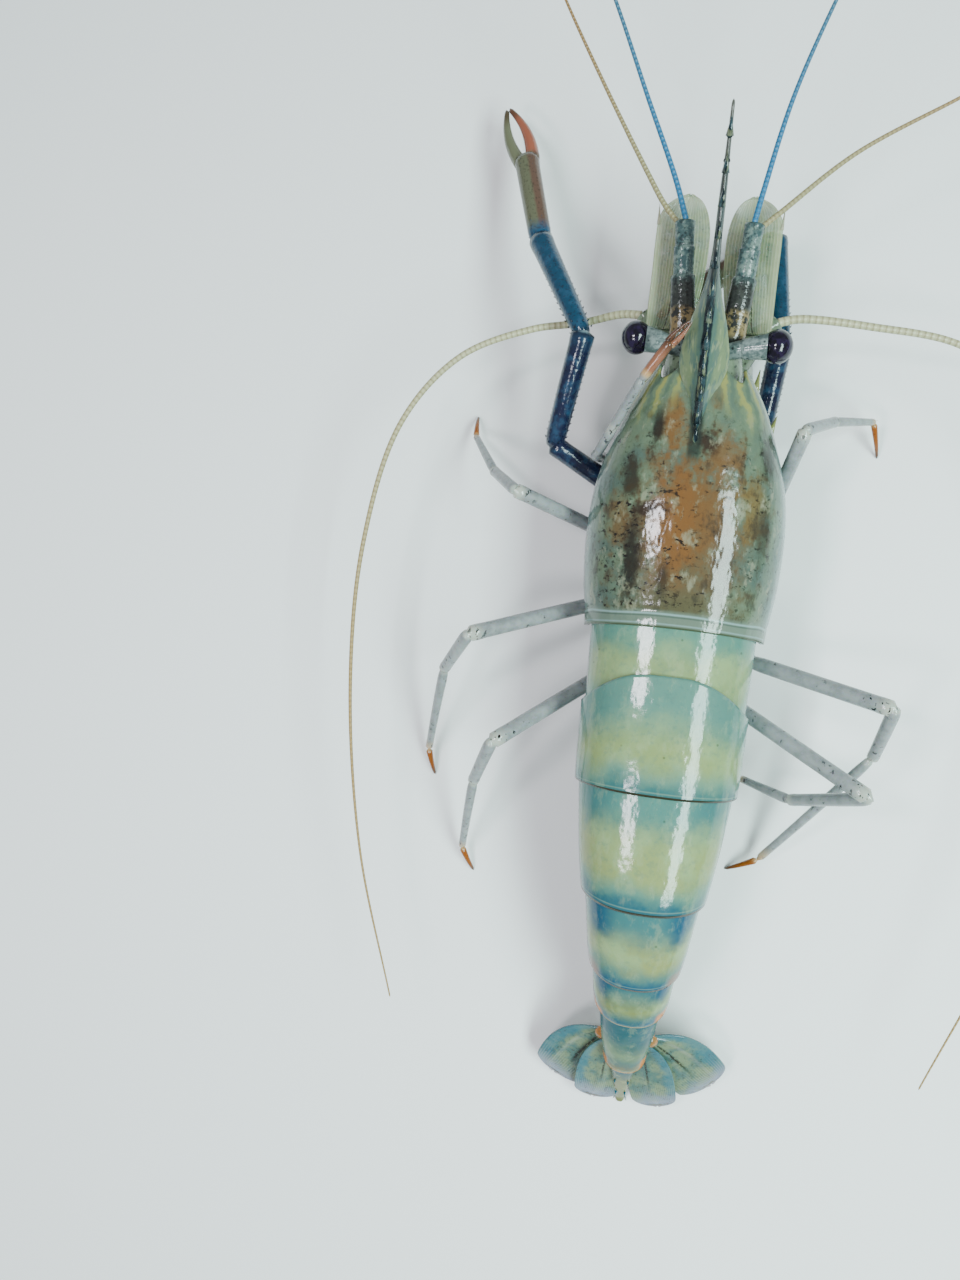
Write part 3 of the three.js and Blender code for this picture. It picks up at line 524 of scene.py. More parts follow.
# %% Abdomen finish
def abdomen_finish(name, middle, teal, blue, reach, side_patches, corners, sides, rim, shine):
    """reach is how far back the front teal band goes, as a share of the plate's length."""
    f = wet(name, Specular_IOR_Level=shine, Subsurface_Weight=0.08, Subsurface_Scale=0.0015)
    around, lengthwise = f.surface()
    off_middle = abs(around - 0.5) * 2
    clouds = f.clouds(7, 3)
    fine = f.clouds(1.5, 5, rough=0.65)
    ragged = lengthwise + (clouds - 0.5) * 0.3 + (fine - 0.5) * 0.08
    f.base(clouds.above(0.38, 0.64), middle, "859b6c")
    f.cover((1 - ragged.above(reach * 0.4, reach)) * 0.92, teal)
    f.cover(ragged.above(0.66, 0.88) * 0.8, teal)
    f.cover(ragged.above(0.82, 0.98) * 0.9, blue)
    side_patch = off_middle.near(0.3, 0.2) * (1 - ragged.above(reach * 0.5, reach))
    f.cover(side_patch * side_patches, blue)
    # sides: their colour, pale on the front plates, is partly the shell's own tint and partly painted light
    # shining through the thin edge
    f.cover(off_middle.above(0.4, 0.62) * 0.65, sides)
    f.cover(f.clouds(3, 5, stretch=(1, 0.5, 1), rough=0.7).above(0.5, 0.66) * 0.22, "9dae88")
    f.cover((1 - fine.above(0.3, 0.5)) * 0.3, "3f6663")
    f.cover(f.specks(4.1, 0.04, 0.1) * 0.5, "26331f")
    f.cover(lengthwise.near(0.96, 0.01) * 0.25, "9bb596")
    f.cover(lengthwise.above(0.978, 0.984), rim)
    corner = off_middle.above(0.26, 0.34) * (1 - off_middle.above(0.44, 0.58)) * ragged.above(0.8, 0.92)
    f.cover(corner * corners, "c8752a")
    return f.finished(f.clouds(2.8, 2, stretch=(1, 0.6, 1)) + fine * 0.1, 0.3, 0.55)


PLATE_COLOURS = [
    # middle, teal, blue, reach of the front band, blue side patches, orange corners, sides (partly painted
    # light through the thin edge), rim, shine
    ("7c8f61", "4f8072", "376a66", 0.5, 0.2, 0.0, "6f9494", "2b2a1b", 0.6),
    ("80915c", "517e74", "295c60", 0.6, 0.25, 0.0, "6f9494", "2b2a1b", 0.6),
    ("84925c", "427872", "184f60", 0.5, 0.4, 0.0, "6f9494", "2b2a1b", 0.6),
    ("838c58", "29656c", "0f4663", 0.62, 0.9, 0.3, "3f6f7d", "2b2a1b", 0.6),
    ("727c4b", "1f5866", "0f4663", 0.7, 0.9, 0.9, "3f6f7d", "8f8452", 0.4),
    ("66774b", "144a5a", "7f6f3c", 0.9, 0.0, 0.95, "205766", "b4823a", 0.15),
]
PLATE_PAINTS = [abdomen_finish(f"wet_plate_{i + 1}", *row) for i, row in enumerate(PLATE_COLOURS)]
print("abdominal plates:", len(PLATE_PAINTS), "finishes")

# %% [markdown]
# Legs are nearly colourless, grey and speckled with black at the joints. The long claws are indigo with
# brown hands. The crest is blue-black, the whips are blue or straw, and the thin scales and tail blades
# are almost clear.

# %% Finishes of legs, claws, crest, eyes and blades
def leg_finish(name, base, joint, tip, lengths=5, speck=0.85):
    """V runs from the hip (0) to the tip (1), with one length of the leg to each equal share."""
    f = wet(name, Subsurface_Weight=0.15, Subsurface_Scale=0.001)
    around, lengthwise = f.surface()
    clouds = f.clouds(2, 4, rough=0.6)
    grain = f.clouds(0.5, 3)
    f.base(clouds.above(0.4, 0.62), base, "7c8281")
    f.cover(grain.above(0.5, 0.62) * 0.4, "938fa0")
    # pale lines down both sides of each length: painted highlights along the leg's edges
    f.cover((around * 2).fraction().near(0.5, 0.16) * 0.5, "a9b3a6")
    share = (lengthwise * lengths).fraction()
    f.cover(share.above(0.86, 0.97) * 0.8, joint)
    f.cover((1 - share.above(0.02, 0.09)) * 0.7, joint)
    f.cover(lengthwise.above(0.765, 0.8) * 0.8, "b98a4c")
    f.cover(lengthwise.above(0.8, 0.83), tip)
    f.cover(lengthwise.above(0.9, 0.99) * 0.8, "3d2a1c")
    spots = f.clouds(0.9, 2, stretch=(1, 0.6, 1)).above(0.6, 0.66)
    where = f.clouds(4, 2).above(0.5, 0.58) * 0.8 + share.above(0.78, 0.88) * 0.8
    f.cover(spots * where * speck, "0f1011")
    return f.finished(f.clouds(0.9, 3), 0.12, 0.5)


LEG_PAINT = leg_finish("wet_leg", "8c9290", "b4b8aa", "8a4b14")
FIRST_LEG_PAINT = leg_finish("wet_first_leg", "878c8a", "a5a89f", "8a5a44")
MOUTH_LEG_PAINT = leg_finish("wet_mouth_foot", "8f947f", "a9ad98", "75704f", 3, 0.4)


def mottled(name, base, patch, size=2.5, sharp=(0.4, 0.62), speck=None, **constants):
    """Two colours in clouds, with dark specks if asked."""
    f = wet(name, **constants)
    f.base(f.clouds(size, 4, rough=0.6).above(*sharp), base, patch)
    if speck:
        f.cover(f.specks(1.4, 0.12, 0.28) * 0.8, speck)
    return f.finished(f.clouds(1.2, 3), 0.15, 0.5)


EYE_PAINT = mottled("glossy_eye", "0b0813", "1f1530", 1.5, Roughness=0.1)
STALK_PAINT = mottled("wet_eyestalk", "4f5c5b", "7f8c89", 1.5, speck="101316")
FLESH_PAINT = mottled("wet_flesh", "76846d", "5b6a55", 4, speck="2c3029")
BELLY_PAINT = mottled("belly", "8f9b89", "74857a", 5)
KNOB_PAINT = mottled("orange_joint", "b9783a", "8c6a44", 0.8)
print("plain finishes made")


def arm_finish():
    """Indigo near the body and teal-blue beyond, dark at the joints, with a fine grain."""
    f = wet("wet_claw_arm")
    _, lengthwise = f.surface()
    clouds = f.clouds(2.4, 4, rough=0.6)
    f.base(lengthwise.above(0.6, 0.72), "161b33", "163a50")
    f.cover(clouds.above(0.45, 0.65) * 0.6, "2a4c66")
    share = (lengthwise * 3).fraction()
    f.cover(abs(share - 0.5).above(0.42, 0.48) * 0.7, "0c1220")
    f.cover(share.near(0.985, 0.02) * 0.6, "7f98a0")
    f.cover(f.clouds(0.6, 2).above(0.56, 0.64) * 0.5, "0a0e18")
    return f.finished(f.clouds(0.8, 3), 0.15, 0.6)


def hand_finish():
    """Mauve-brown on one side and grey-olive on the other, with a blue root and a pale cuff.
    One finger is pinkish orange. The other has V from 1.62 to 2 and is grey-olive."""
    f = wet("wet_claw_hand")
    around, lengthwise = f.surface()
    clouds = f.clouds(2.2, 4)
    brown_side = (1 - abs(around - 0.25).above(0.14, 0.3)) + (clouds - 0.5) * 0.3
    f.base(brown_side.above(0.2, 0.7), "5c5d48", "5a4438")
    f.cover(1 - (lengthwise + clouds * 0.08).above(0.1, 0.2), "1f4560")
    f.cover(f.clouds(0.6, 3).above(0.55, 0.66) * 0.4, "2c2620")
    f.cover(lengthwise.near(0.615, 0.03) * 0.8, "a3a48a")
    f.cover(lengthwise.above(0.64, 0.68), "96553f")
    f.cover(lengthwise.above(0.88, 0.95) * 0.8, "45311f")
    f.cover(lengthwise.above(1.1, 1.2), "666850")
    f.cover(lengthwise.above(1.86, 1.96) * 0.8, "45311f")
    return f.finished(f.clouds(0.9, 3), 0.15, 0.6)


def stem_finish():
    """Dark hairy basal length with a tan patch on top, and glossy slate-teal beyond."""
    f = wet("wet_antennule_stem")
    _, lengthwise = f.surface()
    clouds = f.clouds(1.8, 4, rough=0.65)
    f.base(clouds.above(0.42, 0.62), "3c5152", "6b7d76")
    basal = 1 - (lengthwise + (clouds - 0.5) * 0.1).above(0.26, 0.34)
    f.cover(basal * 0.85, "2b2622")
    tan = basal * lengthwise.near(0.1, 0.1).above(0.1, 0.6) * clouds.above(0.42, 0.56)
    f.cover(tan, "877551")
    f.cover(f.clouds(0.7, 3).above(0.55, 0.64) * 0.6, "15191a")
    return f.finished(f.clouds(0.9, 3), 0.2, 0.7)


def telson_finish():
    """Teal at its root and cream at its end."""
    f = wet("wet_telson", Specular_IOR_Level=0.2, Subsurface_Weight=0.1, Subsurface_Scale=0.001)
    _, lengthwise = f.surface()
    clouds = f.clouds(2.5, 4, rough=0.6)
    f.base((lengthwise + (clouds - 0.5) * 0.3).above(0.2, 0.6), "1b4b57", "74774f")
    f.cover(clouds.above(0.54, 0.66) * 0.4, "98966c")
    return f.finished(f.clouds(1.5, 3), 0.15, 0.6)


def tail_blade_finish():
    """Clear green-cream with a blue outer edge, a dark rib, and a lavender-white band along the end."""
    f = wet("clear_tail_blade", Subsurface_Weight=0.1, Subsurface_Scale=0.001)
    across, lengthwise = f.surface()
    clouds = f.clouds(4, 4, rough=0.6)
    fine = f.clouds(0.8, 4, rough=0.65)
    f.base(clouds.above(0.4, 0.62), "6e7f63", "4b6a64")
    f.cover(fine.above(0.52, 0.66) * 0.4, "34443f")
    f.cover((across + (clouds - 0.5) * 0.3).above(0.72, 0.9) * 0.6, "2c6c80")
    band = (lengthwise + (clouds - 0.5) * 0.2).above(0.66, 0.86)
    f.cover(band * 0.9, "8d93a6")
    f.cover(lengthwise.above(0.9, 0.97) * 0.8, "b7adb5")
    rays = (across * 150 + clouds * 4).sine().above(0.2, 0.9) * lengthwise.above(0.5, 0.8)
    f.cover(rays * 0.22, "b9bdb3")
    rib = across.near(0.45, 0.045) * (1 - lengthwise.above(0.45, 0.7)) * fine.above(0.38, 0.46)
    f.cover(rib * 0.9, "1f1712")
    f.cover(fine.above(0.58, 0.66) * clouds.above(0.45, 0.6) * 0.6, "3a2c20")
    f.feed("Alpha", 1 - clouds.above(0.3, 0.8) * 0.18)
    return f.finished(rays * 0.5 + fine, 0.1, 0.7)


def crest_finish():
    """Blue-black along the upright blade, translucent green on its flanges."""
    f = wet("wet_crest")
    _, lengthwise = f.surface()
    off_blade = f.spot((1, 0, 0), (0, 0, 0), 1.0) + (f.clouds(1.5, 3) - 0.5) * 0.5
    f.base(off_blade.above(0.75, 1.15), "0f1c22", "4b6256")
    f.cover(off_blade.above(1.5, 2.6), "6b7b5b")
    f.cover(f.clouds(1.1, 3, stretch=(1, 0.3, 1)).above(0.48, 0.62) * 0.5, "3a565c")
    f.cover(f.clouds(0.8, 4, stretch=(1, 0.2, 1)).above(0.54, 0.66) * 0.4, "98a077")
    f.cover(lengthwise.above(0.4, 0.62) * 0.6, "3f423e")
    f.cover(lengthwise.above(0.8, 0.95) * 0.6, "57544c")
    return f.finished(f.clouds(0.9, 3), 0.12, 0.5)


def whip_finish(name, near_root, far, ring, rings):
    """Fine rings all the way along."""
    f = wet(name, Roughness=0.35)
    _, lengthwise = f.surface()
    f.base(lengthwise.above(0.1, 0.7), near_root, far)
    ringed = (lengthwise * rings * math.tau).sine()
    f.cover(ringed.above(0.2, 0.9) * 0.45, ring)
    return f.finished(ringed, 0.08, 0.8)


def blade_finish(name, field, shade, edge, end, clear, rib, ribs=0.0):
    """A thin blade: U from its inner to its outer edge, V from its root to its end."""
    f = wet(name, Subsurface_Weight=0.1, Subsurface_Scale=0.001)
    across, lengthwise = f.surface()
    clouds = f.clouds(3.5, 4)
    fine = f.clouds(0.9, 4, rough=0.65)
    f.base(clouds.above(0.42, 0.62), field, shade)
    f.cover(fine.above(0.55, 0.66) * 0.5, "44534f")
    f.cover((across + (clouds - 0.5) * 0.2).above(0.8, 0.96) * 0.9, edge)
    f.cover((lengthwise + (clouds - 0.5) * 0.16).above(0.78, 0.96) * 0.9, end)
    middle_rib = across.near(rib, 0.035) * (1 - lengthwise.above(0.4, 0.7)) * fine.above(0.36, 0.5)
    f.cover(middle_rib * 0.85, "2c231c")
    lines = (across * 110 + clouds * 3).sine()
    f.cover(lines.above(0.3, 0.95) * ribs, "c9cfb8")
    f.feed("Alpha", 1 - (0.4 + clouds.above(0.3, 0.8) * 0.6) * clear)
    return f.finished(lines * 0.4 + fine, 0.08, 0.7)


CLAW_ARM_PAINT = arm_finish()
HAND_PAINT = hand_finish()
STEM_PAINT = stem_finish()
CREST_PAINT = crest_finish()
BLUE_WHIP_PAINT = whip_finish("blue_whip", "1f6c96", "3f6676", "123850", 90)
STRAW_WHIP_PAINT = whip_finish("straw_whip", "9a936a", "96754a", "5c4a2c", 90)
LONG_WHIP_PAINT = whip_finish("long_whip", "b5b48f", "a0834f", "6b5734", 160)
SCALE_PAINT = blade_finish("clear_scale", "8a9672", "74866a", "a5b08a", "aab392", 0.45, 0.55, 0.3)
TAIL_BLADE_PAINT = tail_blade_finish()
TELSON_PAINT = telson_finish()
SWIMMERET_PAINT = blade_finish("clear_swimmeret", "8f9b8c", "7d8d80", "9aa898", "b3bbae", 0.25, 0.5)
HAIR_PAINT = mottled("hair", "a9a68d", "7f7c66", 2, Roughness=0.5)
DARK_HAIR_PAINT = mottled("dark_hair", "2b2724", "4a443b", 2, Roughness=0.5)
print(len(bpy.data.materials), "finishes")

# %% [markdown]
# The carapace is one plate bent over the back like a saddle. Its front edge is notched for the eyes and
# reaches forward below them, and its side margins hang free over the roots of the legs. It is drawn as a
# grid whose first and last rows follow tables of the front and rear edge, and gets its thickness from a
# Solidify modifier.

# %% Carapace
SADDLE_REACH = math.radians(134)
FRONT_EDGE = [  # degrees from the midline, station
    (0, -58.5), (10, -58.5), (22, -55.6), (36, -53.6), (50, -55.6),
    (60, -57.6), (72, -54), (95, -50), (134, -45),
]
REAR_EDGE = [(0, 0.8), (60, 1), (105, 0.4), (134, -3.5)]
PLATE = 0.7
INSET = 0.1  # how far the dressed shell keeps inside the solid's surface
RIM, GROOVE = 0.12, 0.1  # height of the rear rim, and depth of the groove before it
SWELL = 0.25  # height of the slow, uneven swells of the shell


def carapace_place(u, v):
    angle = (u - 0.5) * 2 * SADDLE_REACH
    turn = abs(math.degrees(angle))
    s = mix(along(FRONT_EDGE, turn), along(REAR_EDGE, turn), v)
    rim = RIM * smooth(v, 0.945, 0.975) - GROOVE * (1 - abs(smooth(v, 0.925, 0.955) * 2 - 1))
    swell = SWELL * noise.noise(Vector((u * 9, v * 7, 3)))
    half_width = along(CARAPACE_HALF_WIDTH, s) + rim - INSET
    x, depth = oval(angle, half_width, along(CARAPACE_WIDEST_DEPTH, s), along(CARAPACE_DEPTH, s))
    return in_body(s, x, depth - rim + INSET + swell * smooth(turn, 10, 40))


BODY_MIDDLE = in_body(-25, 0, 17)
shell = skin(120, 110, carapace_place)
piece("carapace_shell", shell, CARAPACE_PAINT, ["carapace"], PLATE, BODY_MIDDLE)


def aim(start, end):
    """The transform that takes a shape drawn up the Z axis to lie from start towards end."""
    way = Vector(end) - Vector(start)
    return Matrix.Translation(Vector(start)) @ way.to_track_quat("Z", "Y").to_matrix().to_4x4()


def spike(mesh, start, end, radius, sides=6, blunt=0.08):
    """Adds a cone from start to end."""
    length = (Vector(end) - Vector(start)).length
    place = aim(start, end) @ Matrix.Translation((0, 0, length / 2))
    cone = {"radius1": radius, "radius2": radius * blunt, "depth": length}
    bmesh.ops.create_cone(mesh, cap_ends=True, segments=sides, matrix=place, **cone)


FRONT_SPINES = [
    # root station and x, tip station and x, depth, radius
    (-53.5, 11.6, -60.5, 12.4, 11, 1.1),
    (-46, 16, -51, 17.3, 14, 0.9),
]
spines = bmesh.new()
for side in (-1, 1):
    for root, root_x, tip, tip_x, depth, radius in FRONT_SPINES:
        spike(spines, in_body(root, side * root_x, depth), in_body(tip, side * tip_x, depth), radius, 10)
piece("carapace_spines", spines, CARAPACE_PAINT)

# %% [markdown]
# Under the saddle lies the body itself: a long rounded block with a keel below, which carries the legs.
# It clears the shell over the back and meets it along the side margins, so it shows only from the front
# and from below. The belly goes on behind it, ribbed below, inside the plates of the abdomen.

# %% Body under the carapace, and the belly
def rounded(v, share):
    """A radius factor that closes both ends of a tube in a dome."""
    if v < share:
        return math.sqrt(max(0, 1 - (1 - v / share) ** 2))
    if v > 1 - share:
        return math.sqrt(max(0, 1 - (1 - (1 - v) / share) ** 2))
    return 1


def tube_in_body(start, end, section, share=0.12):
    """A closed tube between two stations. section gives x and depth at an angle and a station."""

    def place(u, v):
        s = mix(start, end, v)
        angle = (u - 0.5) * math.tau
        x, depth = section(angle, s)
        middle = section(math.pi / 2, s)[1]
        size = rounded(v, share)
        return in_body(s, x * size, middle + (depth - middle) * size)

    return place


UNDER_SHELL = 2.2  # from the outside of the carapace to the chest under it
CHEST_NARROWER, NARROWER_AHEAD = 2, 1.3  # than the shell on each side, and how much more at the front
CHEST_DROP = 1.8  # how much deeper it is than the shell's section


def chest_section(angle, s):
    narrow = CHEST_NARROWER + NARROWER_AHEAD * smooth(-s, 30, 52)
    bottom = along(CARAPACE_DEPTH, s) + CHEST_DROP
    x, depth = oval(angle, along(CARAPACE_HALF_WIDTH, s) - narrow, along(CARAPACE_WIDEST_DEPTH, s), bottom)
    keel = max(0, -math.cos(angle)) ** 3
    return x * (1 - 0.3 * keel), mix(UNDER_SHELL, bottom, depth / bottom) + 0.5 * keel


chest = skin(64, 48, tube_in_body(-53, 0.5, chest_section), wrap=True)
piece("chest", chest, FLESH_PAINT, ["thorax"])


WIDEST = 0.52  # depth of the abdomen's widest place, as a share of its whole depth
UNDER_PLATES = 2.4  # from the outside of the plates to the belly under them
RIB, RIB_EVERY = 0.5, 5.5


def belly_section(angle, s):
    deep = along(ABDOMEN_DEPTH, s) - 1.2
    x, depth = oval(angle, along(ABDOMEN_HALF_WIDTH, s) - UNDER_PLATES, deep * WIDEST, deep)
    ribs = RIB * math.sin(s * math.tau / RIB_EVERY) * max(0, -math.cos(angle))
    return x, mix(UNDER_PLATES, deep, depth / deep) + ribs


belly = skin(56, 150, tube_in_body(-3, 112, belly_section, 0.04), wrap=True)
piece("belly", belly, BELLY_PAINT)

# %% [markdown]
# The six abdominal plates. Each runs over the back as a hoop and ends on both sides in a rounded lobe
# that hangs beside the belly. In this family the second plate's lobes lie over both neighbours, and
# behind it every plate lies over the front of the next. A small lift at each rear edge keeps the plates
# apart and casts the thin shadow that draws the joint.

# %% Abdominal plates
TUCK = 3  # each plate starts this far ahead of the rear edge before it
FIRST_TUCK = 6  # the first one goes on this much further back, in under the second
BOW, FRONT_ARC = 1.6, 7
HOOP = 0.7  # share of the grid that runs over the back; the rest is the lobes
HOOP_ANGLE, LAST_HOOP_ANGLE = math.radians(100), math.radians(152)
ABDOMEN_PLATE = 0.5
LOBES = [  # middle station, length, depth below the belly line
    (6, 15, 1.2), (26, 31, 4.3), (53, 25, 3.9), (74.5, 21, 3.7), (90, 15, 2.9), None,
]
LIFTS = [(-0.5, -0.85), (0.05, 0.15)] + [(-0.8, 0.1)] * 4  # at the front and rear edge


def hoop(angle, s, lift):
    """x and depth of a plate at an angle from the back."""
    deep = along(ABDOMEN_DEPTH, s)
    return oval(angle, along(ABDOMEN_HALF_WIDTH, s) + lift, deep * WIDEST, deep)


def plate_place(index):
    end = SEGMENT_ENDS[index]
    start = (SEGMENT_ENDS[index - 1] if index else 0) - TUCK
    if index == 0:
        end += FIRST_TUCK
    lobe = LOBES[index]
    lift_front, lift_rear = LIFTS[index]

    def place(u, v):
        reach = (u - 0.5) * 2
        t = abs(reach)
        # the rear edge of a hoop bows back on the midline, and the second one's front edge bows forward
        bow = BOW * (1 - smooth(t, 0, 0.75)) * smooth(index, 1, 3)
        front = start + (FRONT_ARC * smooth(t, 0.05, 0.6) if index == 1 else 0)
        s = mix(front, end + bow - 0.8 * smooth(index, 1, 3), v)
        lift = mix(lift_front, lift_rear, smooth(v, 0.1, 1))
        if lobe is None:
            angle = t * LAST_HOOP_ANGLE
            x, depth = hoop(angle, s, lift)
            return in_body(s, math.copysign(x, reach), depth - lift * math.cos(angle))
        middle, length, hang = lobe
        angle = min(t / HOOP, 1) * HOOP_ANGLE
        q = max(0, (t - HOOP) / (1 - HOOP))
        if q > 0:
            spread = 1 - 0.66 * q**2.4
            s = mix(s, middle + (v - 0.5) * length, smooth(q, 0, 0.55))
            s = middle + (s - middle) * spread
        x, depth = hoop(angle, s, lift)
        depth -= lift * max(0, math.cos(angle))
        if q > 0:
            deep = along(ABDOMEN_DEPTH, s)
            depth = mix(depth, deep + hang - 0.4 * abs(v - 0.5), q)
            below = max(0, (depth - deep * WIDEST) / (deep * 0.6))
            x = (along(ABDOMEN_HALF_WIDTH, s) + lift) * (1 - 0.2 * below**2)
        return in_body(s, math.copysign(x, reach), depth)

    return place


for index, (rear_edge, paint) in enumerate(zip(SEGMENT_ENDS, PLATE_PAINTS)):
    inside = rear_edge - 8
    middle = in_body(inside, 0, along(ABDOMEN_DEPTH, inside) / 2)
    plate = skin(96, 40, plate_place(index))
    nodes = [f"abdomen_{index + 1}"]
    piece(f"abdominal_plate_{index + 1}", plate, paint, nodes, ABDOMEN_PLATE, middle)

# %% [markdown]
# The crest is a thin upright blade with a flange along each side, drawn as a tube whose section is a
# slender cross. Its teeth are cones set along the upper and lower edges, leaning forward, larger in the
# middle.

# %% Crest over the eyes
CREST_TOP = [(36, 43.6), (45, 45.4), (55, 47.4), (63, 48.6), (75, 48.2), (86, 50), (96, 53), (106, 57.2)]
CREST_BOTTOM = [(36, 41), (56, 38.5), (66, 41.6), (76, 44), (86, 46.8), (96, 50.8), (106, 56.6)]
CREST_HALF_WIDTH = [(36, 0.8), (48, 2.6), (56, 5.2), (63, 4.2), (70, 2.2), (77, 1), (90, 0.75), (106, 0.35)]
CREST_ROOT, CREST_TIP = 36, 105.9
DORSAL_TEETH, VENTRAL_TEETH = 12, 9


def crest_place(u, v):
    y = mix(CREST_ROOT, CREST_TIP, v)
    top, bottom = along(CREST_TOP, y), along(CREST_BOTTOM, y)
    angle = u * math.tau
    hollow = mix(1.9, 1, smooth(y, 66, 80))
    x = math.copysign(abs(math.sin(angle)) ** hollow, math.sin(angle)) * along(CREST_HALF_WIDTH, y)
    z = math.copysign(abs(math.cos(angle)) ** hollow, math.cos(angle)) * (top - bottom) / 2
    size = rounded(v, 0.02)
    return Vector((x * size, y, (top + bottom) / 2 + z * size))


crest = skin(48, 140, crest_place, wrap=True)
for k in range(DORSAL_TEETH):
    y = 41 + 60 * (k / (DORSAL_TEETH - 1)) ** 1.15
    z = along(CREST_TOP, y)
    spike(crest, (0, y - 1.7, z - 0.7), (0, y + 1.5, z + 1.0), 0.85, 8)
for k in range(VENTRAL_TEETH):
    y = 69 + 32 * k / (VENTRAL_TEETH - 1)
    z = along(CREST_BOTTOM, y)
    spike(crest, (0, y - 1.6, z + 0.8), (0, y + 1.3, z - 1.0), 0.75, 8)
piece("crest", crest, CREST_PAINT, ["rostrum"])

# %% [markdown]
# Jointed limbs. One length of a limb is a tapered tube with domed ends, a slight waist behind its near
# joint and a flared collar at its far joint, like real leg armour. A limb is a chain of them, and V runs
# from 0 at the body to 1 at the tip, so the finish knows where the joints are.

# %% Limb helpers
WAIST, COLLAR = 0.16, 0.08  # shares of the radius
ARCH = 0.018  # share of the length


def frames_along(points):
    """Two directions square to the path at each of its points, carried along without twist."""
    ways = []
    for i in range(len(points)):
        ahead, behind = points[min(i + 1, len(points) - 1)], points[max(i - 1, 0)]
        ways.append((ahead - behind).normalized())
    across = ways[0].cross(Vector((0, 0, 1)))
    if across.length < 0.1:
        across = ways[0].cross(Vector((1, 0, 0)))
    result = []
    for way in ways:
        across = (across - way * across.dot(way)).normalized()
        result.append((across, across.cross(way)))
    return result


def tube(mesh, points, radius, sides=14, flat=1.0, v_range=(0, 1)):
    """Adds a closed tube along a path. radius is a function of the share of the way along it."""
    frames = frames_along(points)
    last = len(points) - 1

    def place(u, v):
        i = min(round(v * last), last)
        across, over = frames[i]
        angle, r = u * math.tau, radius(i / last)
        return points[i] + across * (math.sin(angle) * r) + over * (math.cos(angle) * r * flat)

    made = skin(sides, last, place, wrap=True)
    layer = made.loops.layers.uv.active
    for face in made.faces:
        for loop in face.loops:
            loop[layer].uv.y = mix(*v_range, loop[layer].uv.y)
    bmesh.ops.recalc_face_normals(made, faces=made.faces)
    return add_mesh(mesh, made)


def limb_length(mesh, start, end, near, far, v_range, flat=1.0, sides=14, rings=22):
    """One length of a limb, from joint to joint, reaching a little into both."""
    way = (end - start).normalized()
    start, end = start - way * near * 0.55, end + way * far * 0.5
    arch = way.cross(Vector((0, 0, 1))).cross(way) * (end - start).length * ARCH
    points = [start.lerp(end, i / rings) + arch * math.sin(math.pi * i / rings) for i in range(rings + 1)]

    def radius(t):
        waist = 1 - WAIST * (1 - smooth(t, 0.03, 0.14))
        collar = 1 + COLLAR * smooth(t, 0.88, 0.94)
        return mix(near, far, t) * waist * collar * max(rounded(t, 0.07), 0.02)

    tube(mesh, points, radius, sides, flat, v_range)


def limb(mesh, joints, thickness, flat=1.0, sides=14):
    count = len(thickness)
    for i, (near, far) in enumerate(thickness):
        v_range = (i / count, (i + 1) / count)
        limb_length(mesh, Vector(joints[i]), Vector(joints[i + 1]), near, far, v_range, flat, sides)
    return mesh


def bristles(mesh, start, end, count, length, seed, spread=1.0):
    """Fine stiff hairs that lean towards the tip of a length of limb."""
    dice = random.Random(seed)
    start, end = Vector(start), Vector(end)
    way = (end - start).normalized()
    for _ in range(count):
        root = start.lerp(end, dice.random())
        side = Vector((dice.uniform(-1, 1), dice.uniform(-1, 1), dice.uniform(-1, 1)))
        side = (side - way * side.dot(way)).normalized() * spread
        tip = root + (side + way * 0.9).normalized() * length * dice.uniform(0.6, 1)
        spike(mesh, root, tip, 0.09, 3, 0.2)


# %% [markdown]
# The walking legs stand on their points. The tip of the last length is curved and ends at floor level.

# %% Walking legs
WALKING_LEGS = {
    # size, then the joints from the hip to the tip
    "leg_3_right": (1, [
        (9, 19.5, 13.5), (17.4, 24, 14.5), (23.7, 46.1, 31),
        (31, 50.8, 19), (41.1, 53.8, 7.5), (43.9, 46.6, 0),
    ]),
    "leg_4_right": (1.1, [
        (10.5, 11, 13.5), (18, -6, 15.5), (48.6, -12.7, 34),
        (47.1, -24.4, 23.5), (26.5, -54.5, 4), (19.2, -58.6, 0),
    ]),
    "leg_5_right": (1.1, [
        (7, 2, 13.5), (12.5, -15, 13), (45.9, -32.6, 33),
        (31, -37.2, 16.5), (20.5, -35.2, 4.5), (14.6, -33.6, 0),
    ]),
    "leg_3_left": (1, [
        (-9, 20, 13.5), (-18, 20.5, 15), (-39, 27, 33),
        (-46.5, 32.5, 21), (-55, 43, 5.5), (-56, 49, 0),
    ]),
    "leg_4_left": (1.1, [
        (-10, 10, 13.5), (-18, 4, 14.5), (-46, -7, 34),
        (-53, -16, 22.5), (-58.5, -38, 4.5), (-57, -45, 0),
    ]),
    "leg_5_left": (1.1, [
        (-7.5, 1, 13.5), (-14, -12, 13), (-38, -31, 33),
        (-43, -42, 22), (-47, -62, 4.5), (-44, -68.5, 0),
    ]),
}
LEG_THICKNESS = [(2.1, 1.7), (1.65, 1.7), (1.45, 1.25), (1.15, 0.8)]
HOOF, HOOF_STEPS = (0.8, 0.3), 12


